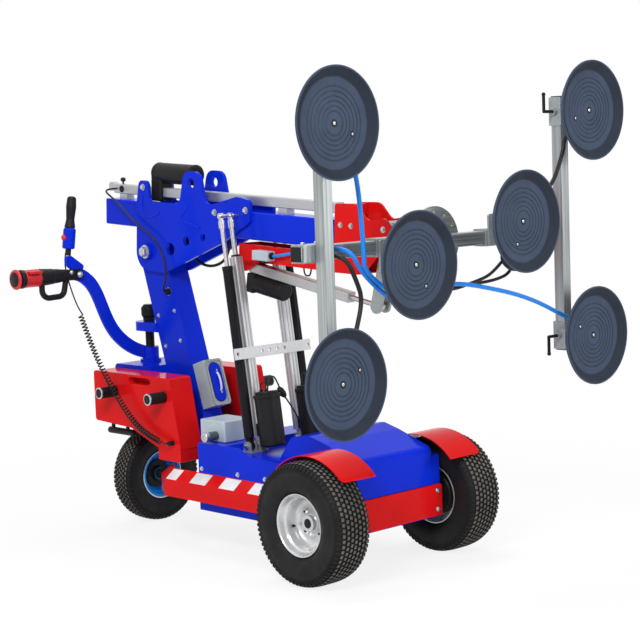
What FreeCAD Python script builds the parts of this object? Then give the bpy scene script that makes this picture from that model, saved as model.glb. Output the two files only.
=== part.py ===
import FreeCAD, Part
import math
import os

# Wheeled vacuum lifter for glass panels, in millimetres.
# It is drawn with the front axle over the origin, the front towards -Y and the ground at Z 0.
# At the end every piece is moved so that the origin is under the middle of the whole machine.

# Front wheels
TYRE_D = 457.0
TYRE_W = 172.0
RIM_D = 232.0
WHEEL_GAP = 17.0
LUG_CIRCLE = 101.6
LUG_R = 8.0
HUB_R = 34.0
AXLE_R = 17.5
AXLE_TUBE_R = 30.0

# Rear wheel and steering
SPINDLE_Y = 1360.0
REAR_D = 400.0
REAR_W = 112.0
REAR_RIM_D = 206.0
REAR_AXLE_R = 12.5
SPINDLE_R = 19.0
CROWN_GAP = 12.0
CROWN_T = 28.0
LEG_T = 16.0

# Chassis
TUB_HALF = 250.0
TUB_FRONT = -75.0
TUB_REAR = 760.0
TUB_BOTTOM = 160.0
DECK_Z = 400.0
STEP_Z = 430.0
STEP_Y = 600.0
SHEET = 5.0
TONGUE_HALF = 138.0
TONGUE_REAR = 1120.0
TONGUE_BOTTOM = 340.0
HOOD_IN = 50.0
HOOD_TOP = 507.0
HOOD_SKIRT = 288.0
HOOD_NOSE = 432.0
HOOD_SHOULDER = (87.0, 487.0)
HOOD_CREST = 165.0
HOOD_BACK = (262.0, 494.0)
HOOD_REAR = 335.0
BUMPER_BOTTOM = 165.0
FENDER_PAST = 17.0
FENDER_GAP = 14.5
FENDER_T = 3.0
FENDER_REAR = 45.0
FENDER_FRONT = 137.0
RAIL_OUT = 50.0
RAIL_T = 6.0
RAIL_FRONT = 290.0
RAIL_REAR = 920.0
RAIL_TURN = 33.0
RAIL_END = 130.0
RAIL_TOP = 310.0
RAIL_EDGE = 272.0
RAIL_BOTTOM = 205.0

# Rear frame, counterweights and pegs
FRAME_HALF = 140.0
FRAME_BOTTOM = 455.0
FRAME_TOP = 690.0
FRAME_REAR = 1430.0
BOSS_R = 45.0
BOSS_H = 10.0
WEIGHT_TOP = 672.0
WEIGHT_BOTTOM = 448.0
WEIGHT_SEAM = 385.0
LOWER_BOTTOM = 335.0
WEIGHT_FRONT = 868.0
WEIGHT_FRONT_TOP = 926.0
WEIGHT_TOE = 1020.0
WEIGHT_KNEE = 1190.0
LOWER_FRONT = 870.0
LOWER_REAR = 1012.0
SLOT_FROM = 1050.0
SLOT_TO = 1195.0
SLOT_LOW = 634.0
SLOT_HIGH = 662.0
SLOT_DEEP = 45.0
PEG_R = 23.5
PEG_L = 85.0
PEG_Z = 594.0
PEG_YS = (1290.0, 965.0)
CARRIER_R = 14.0
CARRIER_X = 185.0
CARRIER_DROP = 45.0
CARRIER_FROM = 1250.0
CARRIER_PINS = (1300.0, 1400.0)
CARRIER_PIN_R = 8.0

# Mast
MAST_HALF = 50.0
MAST_FOOT_FRONT = 941.0
MAST_FOOT_REAR = 1114.0
MAST_LEAN = 17.3
MAST_WALL = 8.0
EAR_Z = 824.0
EAR_T = 38.0
EAR_R = 58.0
CABINET_HALF = 45.0
CABINET_DEEP = 77.0
CABINET_FROM = 84.0
CABINET_TALL = 195.0
CONTROL_BOX = (-200.0, -60.0, 650.0, 800.0)
CONTROL_TALL = 85.0
PLUG_L = 62.0
PLUG_R = 16.0

# Boom, level at the pivot and then drooped to the front
PIVOT_Y = 1254.0
PIVOT_Z = 1167.0
DROOP = 3.5
PIVOT_R = 25.0
BOSS_CHEEK_R = 82.0
TUBE = 110.0
TUBE_WALL = 9.0
TUBE_MID = 150.0
TUBE_REAR = 311.0
TUBE_FRONT = -1095.0
CHEEK_T = 15.0
TAB_TOP = 296.0
LIFT_EYE = (-282.0, 300.0)
LIFT_EYE_R = 20.0
INNER_REAR = -460.0
INNER_WALL = 6.0
SLIDE_GAP = 0.5
SCREW_SIDE = 40.0
SCREW_MID = 247.0
SCREW_REAR = 300.0
SCREW_FRONT = -1080.0
SCREW_ROD_R = 12.0
BOOM_MOTOR_R = 43.0
BOOM_MOTOR_GAP = 17.0
BOOM_MOTOR_REAR = 22.0
BOOM_MOTOR_END = -235.0

# Head frame on the sliding inner tube
HEAD_PLATE_IN = 58.0
HEAD_PLATE_T = 10.0
HEAD_REAR = -1119.0
CHANNEL_REAR = -567.0
CHANNEL_BOTTOM = 10.0
CHANNEL_TOP = 78.0
CHANNEL_T = 6.0
HEAD_PIVOT = (-1370.0, 188.0)
HEAD_PIN_R = 12.0

# Tilt actuator below the boom
TILT_BASE = (700.0, 1118.0)
TILT_EYE = (-35.0, 983.0)
TILT_SIDE = 40.0
TILT_BARREL = 592.0
TILT_ROD_R = 10.0
TILT_MOTOR_R = 38.0
LEVER_IN = 18.0
LEVER_T = 10.0

# Lift rams
RAM_FOOT = (545.0, 425.0)
RAM_HEAD = (-575.0, 190.0)
STRUT_X = 160.0
STRUT_R = 20.0
STRUT_ROD_R = 9.0
STRUT_BARREL = 705.0
ACTUATOR_X = 110.0
ACTUATOR_SIDE = 40.0
ACTUATOR_BARREL = 742.0
ACTUATOR_ROD_R = 10.0
LIFT_MOTOR_R = 50.0
LIFT_MOTOR_GAP = 8.0
LIFT_MOTOR_LOW = -10.0
LIFT_MOTOR_TOP = 205.0
LIFT_FLANGE = 4.0
TIE_UP = 362.0
TIE_HALF = 200.0
PIN_R = 8.0

# Yoke
YOKE_Z = 1228.0
BEAM_Y = -342.0
BEAM = 50.0
BEAM_WALL = 4.0
BEAM_HALF = 700.0
CLAMP = 61.0
CLAMP_L = 110.0
BAR = 45.0
BAR_WALL = 4.0
BAR_IN = 80.0
BAR_L = 950.0
BAR_RISE = {"right": 0.0, "left": 29.0}
INDEX_R = 125.0
INDEX_T = 10.0
INDEX_CIRCLE = 105.0
INDEX_COUNT = 12
PLUNGER_R = 6.0
PLUNGER_TURN = 120.0
SLEEVE_WALL = 6.0
SLEEVE_L = 105.0
CARRIAGE_IN = 54.0
SIDE_OFFSET = 42.0
MIDDLE_OFFSET = 58.0
MIDDLE_X = (-300.0, 265.0)
CARRIER_T = 8.0
POST_R = 24.0
BACK_R = 70.0
BACK_T = 6.0

# Suction discs
DISC_R = 185.0
DISC_FLAT_R = 152.0
DISC_LIP_Y = -523.0
DISC_DEEP = 20.0
DISC_T = 16.0
LIP = 5.0
PORT_R = 5.0
PORT_CIRCLE = 88.0

# Running and slip clearances
RUN = 0.06
SLIP = 0.3
SIDE_PLAY = 0.5


def vec(x, y, z):
    return FreeCAD.Vector(x, y, z)


def box(x0, x1, y0, y1, z0, z1):
    return Part.makeBox(x1 - x0, y1 - y0, z1 - z0, vec(x0, y0, z0))


def rod(start, end, radius):
    return Part.makeCylinder(radius, (end - start).Length, start, end - start)


def rod_x(y, z, radius, x0, x1):
    return Part.makeCylinder(radius, x1 - x0, vec(x0, y, z), vec(1, 0, 0))


def rod_y(x, z, radius, y0, y1):
    return Part.makeCylinder(radius, y1 - y0, vec(x, y0, z), vec(0, 1, 0))


def rod_z(x, y, radius, z0, z1):
    return Part.makeCylinder(radius, z1 - z0, vec(x, y, z0))


def outline(corners, place):
    """Closed wire through corners (a, b, radius), with each corner rounded by its radius."""
    starts, ends, mids = [], [], []
    count = len(corners)
    for i, (a, b, radius) in enumerate(corners):
        here = vec(a, b, 0)
        back = vec(corners[i - 1][0], corners[i - 1][1], 0) - here
        ahead = vec(corners[(i + 1) % count][0], corners[(i + 1) % count][1], 0) - here
        back.normalize()
        ahead.normalize()
        if radius <= 0:
            starts.append(here)
            ends.append(here)
            mids.append(None)
            continue
        half = back.getAngle(ahead) / 2
        bisector = back + ahead
        bisector.normalize()
        starts.append(here + back * (radius / math.tan(half)))
        ends.append(here + ahead * (radius / math.tan(half)))
        mids.append(here + bisector * (radius / math.sin(half) - radius))
    edges = []
    for i in range(count):
        if mids[i] is not None:
            arc = Part.Arc(*[place(p.x, p.y) for p in (starts[i], mids[i], ends[i])])
            edges.append(arc.toShape())
        after = starts[(i + 1) % count]
        if (after - ends[i]).Length > 1e-6:
            edges.append(Part.makeLine(place(ends[i].x, ends[i].y), place(after.x, after.y)))
    return Part.Wire(edges)


def plate_x(corners, x0, x1):
    """Outline in Y and Z, thick along X."""
    wire = outline(corners, lambda a, b: vec(x0, a, b))
    return Part.Face(wire).extrude(vec(x1 - x0, 0, 0))


def plate_y(corners, y0, y1):
    """Outline in X and Z, thick along Y."""
    wire = outline(corners, lambda a, b: vec(a, y0, b))
    return Part.Face(wire).extrude(vec(0, y1 - y0, 0))


def plate_z(corners, z0, z1):
    """Outline in X and Y, thick along Z."""
    wire = outline(corners, lambda a, b: vec(a, b, z0))
    return Part.Face(wire).extrude(vec(0, 0, z1 - z0))


def turned_x(corners, y, z):
    """Outline in X and radius, turned round an X axis."""
    wire = outline(corners, lambda a, b: vec(a, y, z + b))
    return Part.Face(wire).revolve(vec(0, y, z), vec(1, 0, 0), 360)


def turned_y(corners, x, z):
    """Outline in Y and radius, turned round a Y axis."""
    wire = outline(corners, lambda a, b: vec(x, a, z + b))
    return Part.Face(wire).revolve(vec(x, 0, z), vec(0, 1, 0), 360)


def turned_z(corners, x, y):
    """Outline in radius and Z, turned round a Z axis."""
    wire = outline(corners, lambda a, b: vec(x + a, y, b))
    return Part.Face(wire).revolve(vec(x, y, 0), vec(0, 0, 1), 360)


def square(a, b, side, radius):
    """Corners of a square profile with rounded corners."""
    half = side / 2
    return [(a - half, b - half, radius), (a + half, b - half, radius),
            (a + half, b + half, radius), (a - half, b + half, radius)]


def fuse(first, *others):
    return first.fuse(list(others)).removeSplitter()


def mirrored(shape):
    return shape.mirror(vec(0, 0, 0), vec(1, 0, 0))


def both_sides(shape):
    return [shape, mirrored(shape)]


def softened(shape, radius):
    return shape.makeFillet(radius, shape.Edges)


nodes = {}


def keep(name, *solids):
    nodes[name] = Part.makeCompound(list(solids)) if len(solids) > 1 else solids[0]


# Where the main lines of the machine lie
AXLE_Z = TYRE_D / 2
REAR_Z = REAR_D / 2
WHEEL_X = TUB_HALF + TYRE_W / 2 + WHEEL_GAP
HOOD_HALF = TUB_HALF - HOOD_IN
FENDER_OUT = WHEEL_X + FENDER_PAST
WEIGHT_OUT = TUB_HALF
BAR_X = BEAM_HALF - BAR_IN
REACH = BAR_L / 2 - CARRIAGE_IN
LEAN_SLOPE = math.tan(math.radians(MAST_LEAN))


def mast_front(z):
    return MAST_FOOT_FRONT + LEAN_SLOPE * (z - STEP_Z)


def mast_rear(z):
    return MAST_FOOT_REAR + LEAN_SLOPE * (z - STEP_Z)


def boom_place(y, z):
    """Point of the drooped boom from a point of the level one, counted from the pivot."""
    turn = math.radians(DROOP)
    return (PIVOT_Y + y * math.cos(turn) - z * math.sin(turn),
            PIVOT_Z + y * math.sin(turn) + z * math.cos(turn))


def drooped(shape):
    """Move a piece drawn level, counted from the pivot, to its drooped place."""
    moved = shape.copy()
    moved.translate(vec(0, PIVOT_Y, PIVOT_Z))
    moved.rotate(vec(0, PIVOT_Y, PIVOT_Z), vec(1, 0, 0), DROOP)
    return moved


def along(shape, start, end):
    """Move a piece drawn up the Z axis so that it runs from start to end, both in Y and Z."""
    moved = shape.copy()
    moved.rotate(vec(0, 0, 0), vec(1, 0, 0), -math.degrees(math.atan2(end[0] - start[0], end[1] - start[1])))
    moved.translate(vec(0, start[0], start[1]))
    return moved


def span(start, end):
    return math.hypot(end[0] - start[0], end[1] - start[1])


# Front wheels: tyre, dished rim with four lug holes, fixed axle
def front_wheel(side):
    half = TYRE_W / 2
    seat_half = 0.70 * half
    seat_r = RIM_D / 2 - 12
    tyre_r = TYRE_D / 2
    flange = 8.0
    tyre = [(-seat_half, seat_r, 0), (-seat_half, RIM_D / 2 + 2, 6), (-half, RIM_D / 2 + 44, 40),
            (-half + 3, tyre_r - 20, 22), (-half + 20, tyre_r, 16), (half - 20, tyre_r, 16),
            (half - 3, tyre_r - 20, 22), (half, RIM_D / 2 + 44, 40), (seat_half, RIM_D / 2 + 2, 6),
            (seat_half, seat_r, 0)]
    wall = seat_r - 7
    web = 14.0
    rim = [(-seat_half - flange, RIM_D / 2, 3), (-seat_half, RIM_D / 2, 3), (-seat_half, seat_r, 0),
           (seat_half, seat_r, 0), (seat_half, RIM_D / 2, 3), (seat_half + flange, RIM_D / 2, 3),
           (seat_half + flange, wall, 3), (web + 7, wall, 12), (web + 7, HUB_R, 4), (half - 30, HUB_R, 2),
           (half - 30, AXLE_R + RUN, 0), (-6, AXLE_R + RUN, 0), (-6, HUB_R, 5), (web, HUB_R + 12, 8),
           (web, wall, 14), (-seat_half - flange, wall, 3)]
    tyre_solid = turned_x(tyre, 0, AXLE_Z)
    rim_solid = turned_x(rim, 0, AXLE_Z)
    for turn in (45, 135, 225, 315):
        y = LUG_CIRCLE / 2 * math.cos(math.radians(turn))
        z = AXLE_Z + LUG_CIRCLE / 2 * math.sin(math.radians(turn))
        rim_solid = rim_solid.cut(rod_x(y, z, LUG_R, web - 10, web + 20))
    shapes = []
    for shape in (rim_solid, tyre_solid):
        shape = shape if side < 0 else mirrored(shape)
        shape.translate(vec(side * WHEEL_X, 0, 0))
        shapes.append(shape)
    return shapes


for side, name in ((-1, "right"), (1, "left")):
    rim_shape, tyre_shape = front_wheel(side)
    keep("front_rim_" + name, rim_shape)
    keep("front_tyre_" + name, tyre_shape)

axle_reach = WHEEL_X - (TYRE_W / 2 - 30) - SIDE_PLAY
axle_cap = WHEEL_X + 6 + SIDE_PLAY
axle = fuse(rod_x(0, AXLE_Z, AXLE_TUBE_R, -axle_reach, axle_reach),
            rod_x(0, AXLE_Z, AXLE_R, -axle_cap, axle_cap),
            rod_x(0, AXLE_Z, HUB_R - 4, axle_cap, axle_cap + 16),
            rod_x(0, AXLE_Z, HUB_R - 4, -axle_cap - 16, -axle_cap))
keep("drive_axle", axle)

# Chassis tub of bent sheet, open below, with raised side edges and a tongue for the mast
tub = plate_x([(TUB_FRONT, TUB_BOTTOM, 0), (TUB_FRONT, DECK_Z, 8), (STEP_Y - 15, DECK_Z, 6),
               (STEP_Y, STEP_Z, 6), (TUB_REAR, STEP_Z, 8), (TUB_REAR, TUB_BOTTOM, 0)], -TUB_HALF, TUB_HALF)
tub = tub.cut(plate_x([(TUB_FRONT + SHEET, TUB_BOTTOM - 1, 0), (TUB_FRONT + SHEET, DECK_Z - SHEET, 4),
                       (STEP_Y - 15 + SHEET, DECK_Z - SHEET, 4), (STEP_Y + SHEET, STEP_Z - SHEET, 4),
                       (TUB_REAR - SHEET, STEP_Z - SHEET, 4), (TUB_REAR - SHEET, TUB_BOTTOM - 1, 0)],
                      -TUB_HALF + SHEET, TUB_HALF - SHEET))
side_edge = plate_x([(345, DECK_Z - SHEET, 0), (345, DECK_Z + 1, 0), (470, DECK_Z + 4, 30), (505, STEP_Z, 14),
                     (STEP_Y + 5, STEP_Z, 0), (STEP_Y + 5, DECK_Z - SHEET, 0)], -TUB_HALF, -TUB_HALF + SHEET)
tongue = box(-TONGUE_HALF, TONGUE_HALF, TUB_REAR - SHEET, TONGUE_REAR, TONGUE_BOTTOM, STEP_Z)
tongue = tongue.cut(box(-TONGUE_HALF + SHEET, TONGUE_HALF - SHEET, TUB_REAR, TONGUE_REAR - SHEET,
                        TONGUE_BOTTOM - 1, STEP_Z - 2 * SHEET))
tub = fuse(tub, tongue, *both_sides(side_edge))
tub = tub.cut(rod_x(0, AXLE_Z, AXLE_TUBE_R + SLIP, -TUB_HALF - 1, TUB_HALF + 1))
keep("chassis_tub", tub)

# Hood: a rounded cover over the front of the tub, with a skirt down to the bumper
hood_front = TUB_FRONT - SHEET


def hood_profile(inset):
    return [(hood_front + inset, DECK_Z, 0), (hood_front + inset, HOOD_NOSE - inset, 28),
            (HOOD_SHOULDER[0], HOOD_SHOULDER[1] - inset, 60), (HOOD_CREST, HOOD_TOP - inset, 60),
            (HOOD_BACK[0], HOOD_BACK[1] - inset, 45), (HOOD_REAR - inset, DECK_Z, 0)]


hood = plate_x(hood_profile(0), -HOOD_HALF, HOOD_HALF)
hood = hood.cut(plate_x(hood_profile(SHEET), -HOOD_HALF + SHEET, HOOD_HALF - SHEET))
hood = fuse(hood, box(-HOOD_HALF, HOOD_HALF, hood_front, TUB_FRONT, HOOD_SKIRT, DECK_Z))
keep("front_hood", hood)

bumper = plate_y([(-TUB_HALF, BUMPER_BOTTOM, 10), (TUB_HALF, BUMPER_BOTTOM, 10),
                  (TUB_HALF, HOOD_SKIRT - 2, 10), (-TUB_HALF, HOOD_SKIRT - 2, 10)],
                 TUB_FRONT - 2 * SHEET, TUB_FRONT)

# Fenders: bent over the inner part of each front tyre and screwed to the hood
fender_r = TYRE_D / 2 + FENDER_GAP
fender = Part.Face(outline([(HOOD_HALF, fender_r, 0), (FENDER_OUT, fender_r, 0),
                            (FENDER_OUT, fender_r + FENDER_T, 0), (HOOD_HALF, fender_r + FENDER_T, 0)],
                           lambda a, b: vec(a, b, AXLE_Z)))
fender = fender.revolve(vec(0, 0, AXLE_Z), vec(1, 0, 0), FENDER_FRONT - FENDER_REAR)
fender.rotate(vec(0, 0, AXLE_Z), vec(1, 0, 0), FENDER_REAR)
front_corner = [e for e in fender.Edges if e.CenterOfMass.y < 0 and abs(e.CenterOfMass.x - FENDER_OUT) < 1
                and e.Length < 2 * FENDER_T]
fender = fender.makeFillet(22, front_corner)
keep("front_guards", bumper, *both_sides(fender))

# Side rails: folded plate on each flank, turned in at the rear
rail_section = [(TUB_HALF, RAIL_TOP, 0), (TUB_HALF + RAIL_OUT, RAIL_EDGE, 8),
                (TUB_HALF + RAIL_OUT, RAIL_BOTTOM, 0), (TUB_HALF + RAIL_OUT - RAIL_T, RAIL_BOTTOM, 0),
                (TUB_HALF + RAIL_OUT - RAIL_T, RAIL_EDGE - 4, 3), (TUB_HALF, RAIL_TOP - RAIL_T - 2, 0)]
rail_turn = math.radians(RAIL_TURN)
rail_bend = vec(TUB_HALF + RAIL_OUT, RAIL_REAR, RAIL_BOTTOM)
rail_line = Part.makePolygon([vec(TUB_HALF + RAIL_OUT, RAIL_FRONT, RAIL_BOTTOM), rail_bend,
                              rail_bend + vec(-math.sin(rail_turn), math.cos(rail_turn), 0) * RAIL_END])
rail_face = outline(rail_section, lambda a, b: vec(a, RAIL_FRONT, b))
rail = Part.Wire(rail_line).makePipeShell([rail_face], True, False, 1)
keep("side_rails", *both_sides(rail))

# Rear frame behind the mast, with the steering head
frame_wall = 8.0
rear_frame = plate_x([(mast_rear(FRAME_BOTTOM), FRAME_BOTTOM, 0), (mast_rear(FRAME_TOP), FRAME_TOP, 0),
                      (FRAME_REAR, FRAME_TOP, 20), (FRAME_REAR, FRAME_BOTTOM, 0)], -FRAME_HALF, FRAME_HALF)
rear_frame = rear_frame.cut(plate_x([(mast_rear(FRAME_BOTTOM) + frame_wall, FRAME_BOTTOM - 1, 0),
                                     (mast_rear(FRAME_TOP - frame_wall) + frame_wall, FRAME_TOP - frame_wall, 0),
                                     (FRAME_REAR - frame_wall, FRAME_TOP - frame_wall, 12),
                                     (FRAME_REAR - frame_wall, FRAME_BOTTOM - 1, 0)],
                                    -FRAME_HALF + frame_wall, FRAME_HALF - frame_wall))
rear_frame = fuse(rear_frame, rod_z(0, SPINDLE_Y, BOSS_R, FRAME_BOTTOM, FRAME_TOP + BOSS_H))
rear_frame = rear_frame.cut(rod_z(0, SPINDLE_Y, SPINDLE_R + RUN, FRAME_BOTTOM - 1, FRAME_TOP + BOSS_H + 1))
keep("rear_frame", rear_frame)

# Counterweights: a shaped block each side with a hand slot, and a smaller block below
weight = plate_x([(FRAME_REAR + 5, WEIGHT_TOP, 14), (FRAME_REAR + 5, WEIGHT_BOTTOM + 12, 14),
                  (WEIGHT_KNEE, WEIGHT_BOTTOM, 30), (WEIGHT_TOE, WEIGHT_SEAM, 12), (WEIGHT_FRONT, WEIGHT_SEAM, 4),
                  (WEIGHT_FRONT_TOP, WEIGHT_TOP, 14)], -WEIGHT_OUT, -FRAME_HALF)
slot_r = (SLOT_HIGH - SLOT_LOW) / 2 - 0.05
slot = plate_x([(SLOT_FROM, SLOT_LOW, slot_r), (SLOT_TO, SLOT_LOW, slot_r), (SLOT_TO, SLOT_HIGH, slot_r),
                (SLOT_FROM, SLOT_HIGH, slot_r)], -WEIGHT_OUT - 1, -WEIGHT_OUT + SLOT_DEEP)
weight = weight.cut(slot)
lower_weight = plate_x([(LOWER_FRONT, LOWER_BOTTOM, 5), (LOWER_FRONT, WEIGHT_SEAM, 0), (LOWER_REAR, WEIGHT_SEAM, 0),
                        (LOWER_REAR, LOWER_BOTTOM, 5)], -WEIGHT_OUT, -FRAME_HALF - 15)
keep("counterweights", *both_sides(weight), *both_sides(lower_weight))

pegs = []
for y in PEG_YS:
    peg = turned_x([(-WEIGHT_OUT - PEG_L, 0, 0), (-WEIGHT_OUT - PEG_L, PEG_R, 5), (-WEIGHT_OUT, PEG_R, 0),
                    (-WEIGHT_OUT, 0, 0)], y, PEG_Z)
    pegs += both_sides(peg)

carrier_z = FRAME_BOTTOM - CARRIER_DROP
carrier_bar = softened(rod_y(-CARRIER_X, carrier_z, CARRIER_R, CARRIER_FROM, FRAME_REAR), CARRIER_R - 4)
for y in CARRIER_PINS:
    carrier_bar = fuse(carrier_bar, rod_z(-CARRIER_X, y, CARRIER_PIN_R, carrier_z, FRAME_BOTTOM + 10))
carrier_bar = carrier_bar.cut(weight)
# The round gland where the curly cord plugs into the near weight
GLAND_R = 10.0
GLAND_L = 24.0
GLAND_AT = (915.0, 412.0)
gland = rod_x(*GLAND_AT, GLAND_R, -WEIGHT_OUT - GLAND_L, -WEIGHT_OUT)
keep("weight_pegs", *pegs, *both_sides(carrier_bar), gland)

# Mast: a leaning box section with a round top, the boom pin and the ear for the steering spindle
MAST_REAR_R = 74.0
MAST_FRONT_R = 88.0
mast_top = PIVOT_Z + BOSS_CHEEK_R + 3
mast = plate_x([(mast_front(STEP_Z), STEP_Z, 0), (mast_rear(STEP_Z), STEP_Z, 0),
                (mast_rear(mast_top), mast_top, MAST_REAR_R), (mast_front(mast_top), mast_top, MAST_FRONT_R)],
               -MAST_HALF, MAST_HALF)
hollow_top = PIVOT_Z - 2 * PIVOT_R
mast = mast.cut(plate_x([(mast_front(STEP_Z + 10) + MAST_WALL, STEP_Z + 10, 0),
                         (mast_rear(STEP_Z + 10) - MAST_WALL, STEP_Z + 10, 0),
                         (mast_rear(hollow_top) - MAST_WALL, hollow_top, 20),
                         (mast_front(hollow_top) + MAST_WALL, hollow_top, 20)],
                        -MAST_HALF + MAST_WALL, MAST_HALF - MAST_WALL))
ear = plate_z([(-EAR_R, mast_rear(EAR_Z) - 30, 0), (EAR_R, mast_rear(EAR_Z) - 30, 0),
               (EAR_R, SPINDLE_Y + EAR_R, EAR_R - 1), (-EAR_R, SPINDLE_Y + EAR_R, EAR_R - 1)],
              EAR_Z, EAR_Z + EAR_T)
ear_root = MAST_WALL / 2
ear = ear.cut(plate_x([(mast_front(STEP_Z) - 300, STEP_Z, 0), (mast_rear(STEP_Z) - ear_root, STEP_Z, 0),
                       (mast_rear(mast_top) - ear_root, mast_top, 0), (mast_front(mast_top) - 300, mast_top, 0)],
                      -2 * EAR_R, 2 * EAR_R))
ear = ear.cut(rod_z(0, SPINDLE_Y, SPINDLE_R + RUN, EAR_Z - 1, EAR_Z + EAR_T + 1))
cheek_out = TUBE / 2 + CHEEK_T
pin_end = cheek_out + 12
pin = fuse(rod_x(PIVOT_Y, PIVOT_Z, PIVOT_R, -pin_end, pin_end),
           rod_x(PIVOT_Y, PIVOT_Z, PIVOT_R + 9, -pin_end - 6, -pin_end + 11.5),
           rod_x(PIVOT_Y, PIVOT_Z, PIVOT_R + 9, pin_end - 11.5, pin_end + 6))
mast = fuse(mast, ear, pin)
keep("mast", mast)

# Cabinet on the front of the mast, leaning with it, and its front panel
lean = math.radians(MAST_LEAN)
cabinet_z0 = STEP_Z + CABINET_FROM


def cabinet_corner(up, out):
    z = cabinet_z0 + up * math.cos(lean)
    return (mast_front(cabinet_z0) + up * math.sin(lean) - out * math.cos(lean), z + out * math.sin(lean))


def cabinet_prism(up0, up1, out0, out1, half):
    corners = [cabinet_corner(up0, out0), cabinet_corner(up1, out0),
               cabinet_corner(up1, out1), cabinet_corner(up0, out1)]
    return plate_x([(y, z, 0) for y, z in corners], -half, half)


panel_in = 9.0
panel_t = 5.0
cabinet = cabinet_prism(0, CABINET_TALL, 0, CABINET_DEEP, CABINET_HALF)
cabinet = softened(cabinet, 4)
panel = cabinet_prism(panel_in, CABINET_TALL - panel_in, CABINET_DEEP - panel_t, CABINET_DEEP + 2,
                      CABINET_HALF - panel_in)
cabinet = cabinet.cut(panel)
keep("cabinet_panel", panel)

bx0, bx1, by0, by1 = CONTROL_BOX
control = softened(box(bx0, bx1, by0, by1, STEP_Z, STEP_Z + CONTROL_TALL), 5)
plug = turned_x([(bx0 - PLUG_L, 0, 0), (bx0 - PLUG_L, PLUG_R, 4), (bx0, PLUG_R, 0), (bx0, 0, 0)],
                (by0 + by1) / 2 - 25, STEP_Z + 27)
keep("control_boxes", cabinet, control, plug)

# Lift rams: two gas struts and two driven spindles that stand on the deck and raise the boom
ram_head = boom_place(*RAM_HEAD)
ram_length = span(RAM_FOOT, ram_head)
eye_half = 10.0
lug_t = 8.0
bases = []
barrels = []
drives = []
motors = []
rods = []
eye_r = 17.0
for side in (-1, 1):
    for x in (STRUT_X, ACTUATOR_X):
        lugs = []
        for hand in (-1, 1):
            near = side * x + hand * (eye_half + SIDE_PLAY)
            far = near + hand * lug_t
            lugs.append(plate_x([(RAM_FOOT[0] - 22, DECK_Z, 0), (RAM_FOOT[0] + 22, DECK_Z, 0),
                                 (RAM_FOOT[0] + 18, RAM_FOOT[1] + 18, 17),
                                 (RAM_FOOT[0] - 18, RAM_FOOT[1] + 18, 17)], min(near, far), max(near, far)))
        reach = eye_half + SIDE_PLAY + lug_t + 2
        lugs.append(rod_x(RAM_FOOT[0], RAM_FOOT[1], PIN_R, side * x - reach, side * x + reach))
        lugs.append(box(side * x - reach, side * x + reach, RAM_FOOT[0] - 30, RAM_FOOT[0] + 30,
                        DECK_Z, DECK_Z + 5))
        bases.append(fuse(*lugs))
    foot = fuse(rod_x(0, 0, eye_r, -eye_half, eye_half), box(-eye_half, eye_half, -11, 11, 0, 32))
    foot = foot.cut(rod_x(0, 0, PIN_R + RUN, -eye_half - 1, eye_half + 1))
    barrel = turned_z([(0, 30, 0), (STRUT_R, 30, 5), (STRUT_R, STRUT_BARREL, 3), (0, STRUT_BARREL, 0)], 0, 0)
    barrel = fuse(barrel, foot)
    barrel = barrel.cut(rod_z(0, 0, STRUT_ROD_R + RUN, 60, STRUT_BARREL + 1))
    barrel.translate(vec(side * STRUT_X, 0, 0))
    barrels.append(along(barrel, RAM_FOOT, ram_head))
    drive = plate_z(square(0, 0, ACTUATOR_SIDE, 5), 30, ACTUATOR_BARREL)
    drive = fuse(drive, foot)
    drive = drive.cut(rod_z(0, 0, ACTUATOR_ROD_R + RUN, 60, ACTUATOR_BARREL + 1))
    drive.translate(vec(side * ACTUATOR_X, 0, 0))
    drives.append(along(drive, RAM_FOOT, ram_head))
    face = -ACTUATOR_SIDE / 2
    motor_y = face - LIFT_MOTOR_GAP - LIFT_MOTOR_R
    gear = softened(box(-30, 30, motor_y, face, 32, 84), 7)
    flange_r = LIFT_MOTOR_R + LIFT_FLANGE
    can = turned_z([(0, LIFT_MOTOR_LOW, 0), (LIFT_MOTOR_R, LIFT_MOTOR_LOW, 8), (LIFT_MOTOR_R, LIFT_MOTOR_TOP - 26, 0),
                    (flange_r, LIFT_MOTOR_TOP - 26, 2), (flange_r, LIFT_MOTOR_TOP - 12, 2),
                    (LIFT_MOTOR_R - 5, LIFT_MOTOR_TOP - 12, 0), (LIFT_MOTOR_R - 5, LIFT_MOTOR_TOP, 6),
                    (0, LIFT_MOTOR_TOP, 0)], 0, motor_y)
    motor = fuse(gear, can)
    motor.translate(vec(side * ACTUATOR_X, 0, 0))
    motors.append(along(motor, RAM_FOOT, ram_head))
    reach0 = cheek_out + SIDE_PLAY
    fork = rod_x(0, ram_length, PIN_R - 1, reach0, STRUT_X + 12)
    for x, radius in ((STRUT_X, STRUT_ROD_R), (ACTUATOR_X, ACTUATOR_ROD_R)):
        fork = fuse(fork, rod_z(x, 0, radius, 300, ram_length),
                    rod_x(0, ram_length, eye_r - 5, x - eye_half + 2, x + eye_half - 2),
                    rod_z(x, 0, radius + 4, ram_length - 48, ram_length - 18))
    fork = fork if side > 0 else mirrored(fork)
    rods.append(along(fork, RAM_FOOT, ram_head))
keep("ram_base", *bases)
keep("strut_barrels", *barrels)
tie = box(-TIE_HALF, TIE_HALF, -ACTUATOR_SIDE / 2 - 8, -ACTUATOR_SIDE / 2, TIE_UP - 22, TIE_UP + 22)
for x in (-185, -60, -20, 20, 60, 185):
    tie = tie.cut(rod_y(x, TIE_UP, 7, -ACTUATOR_SIDE, 0))
keep("lift_actuators", *drives, along(tie, RAM_FOOT, ram_head))
keep("lift_motors", *motors)
keep("lift_rods", *rods)

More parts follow.
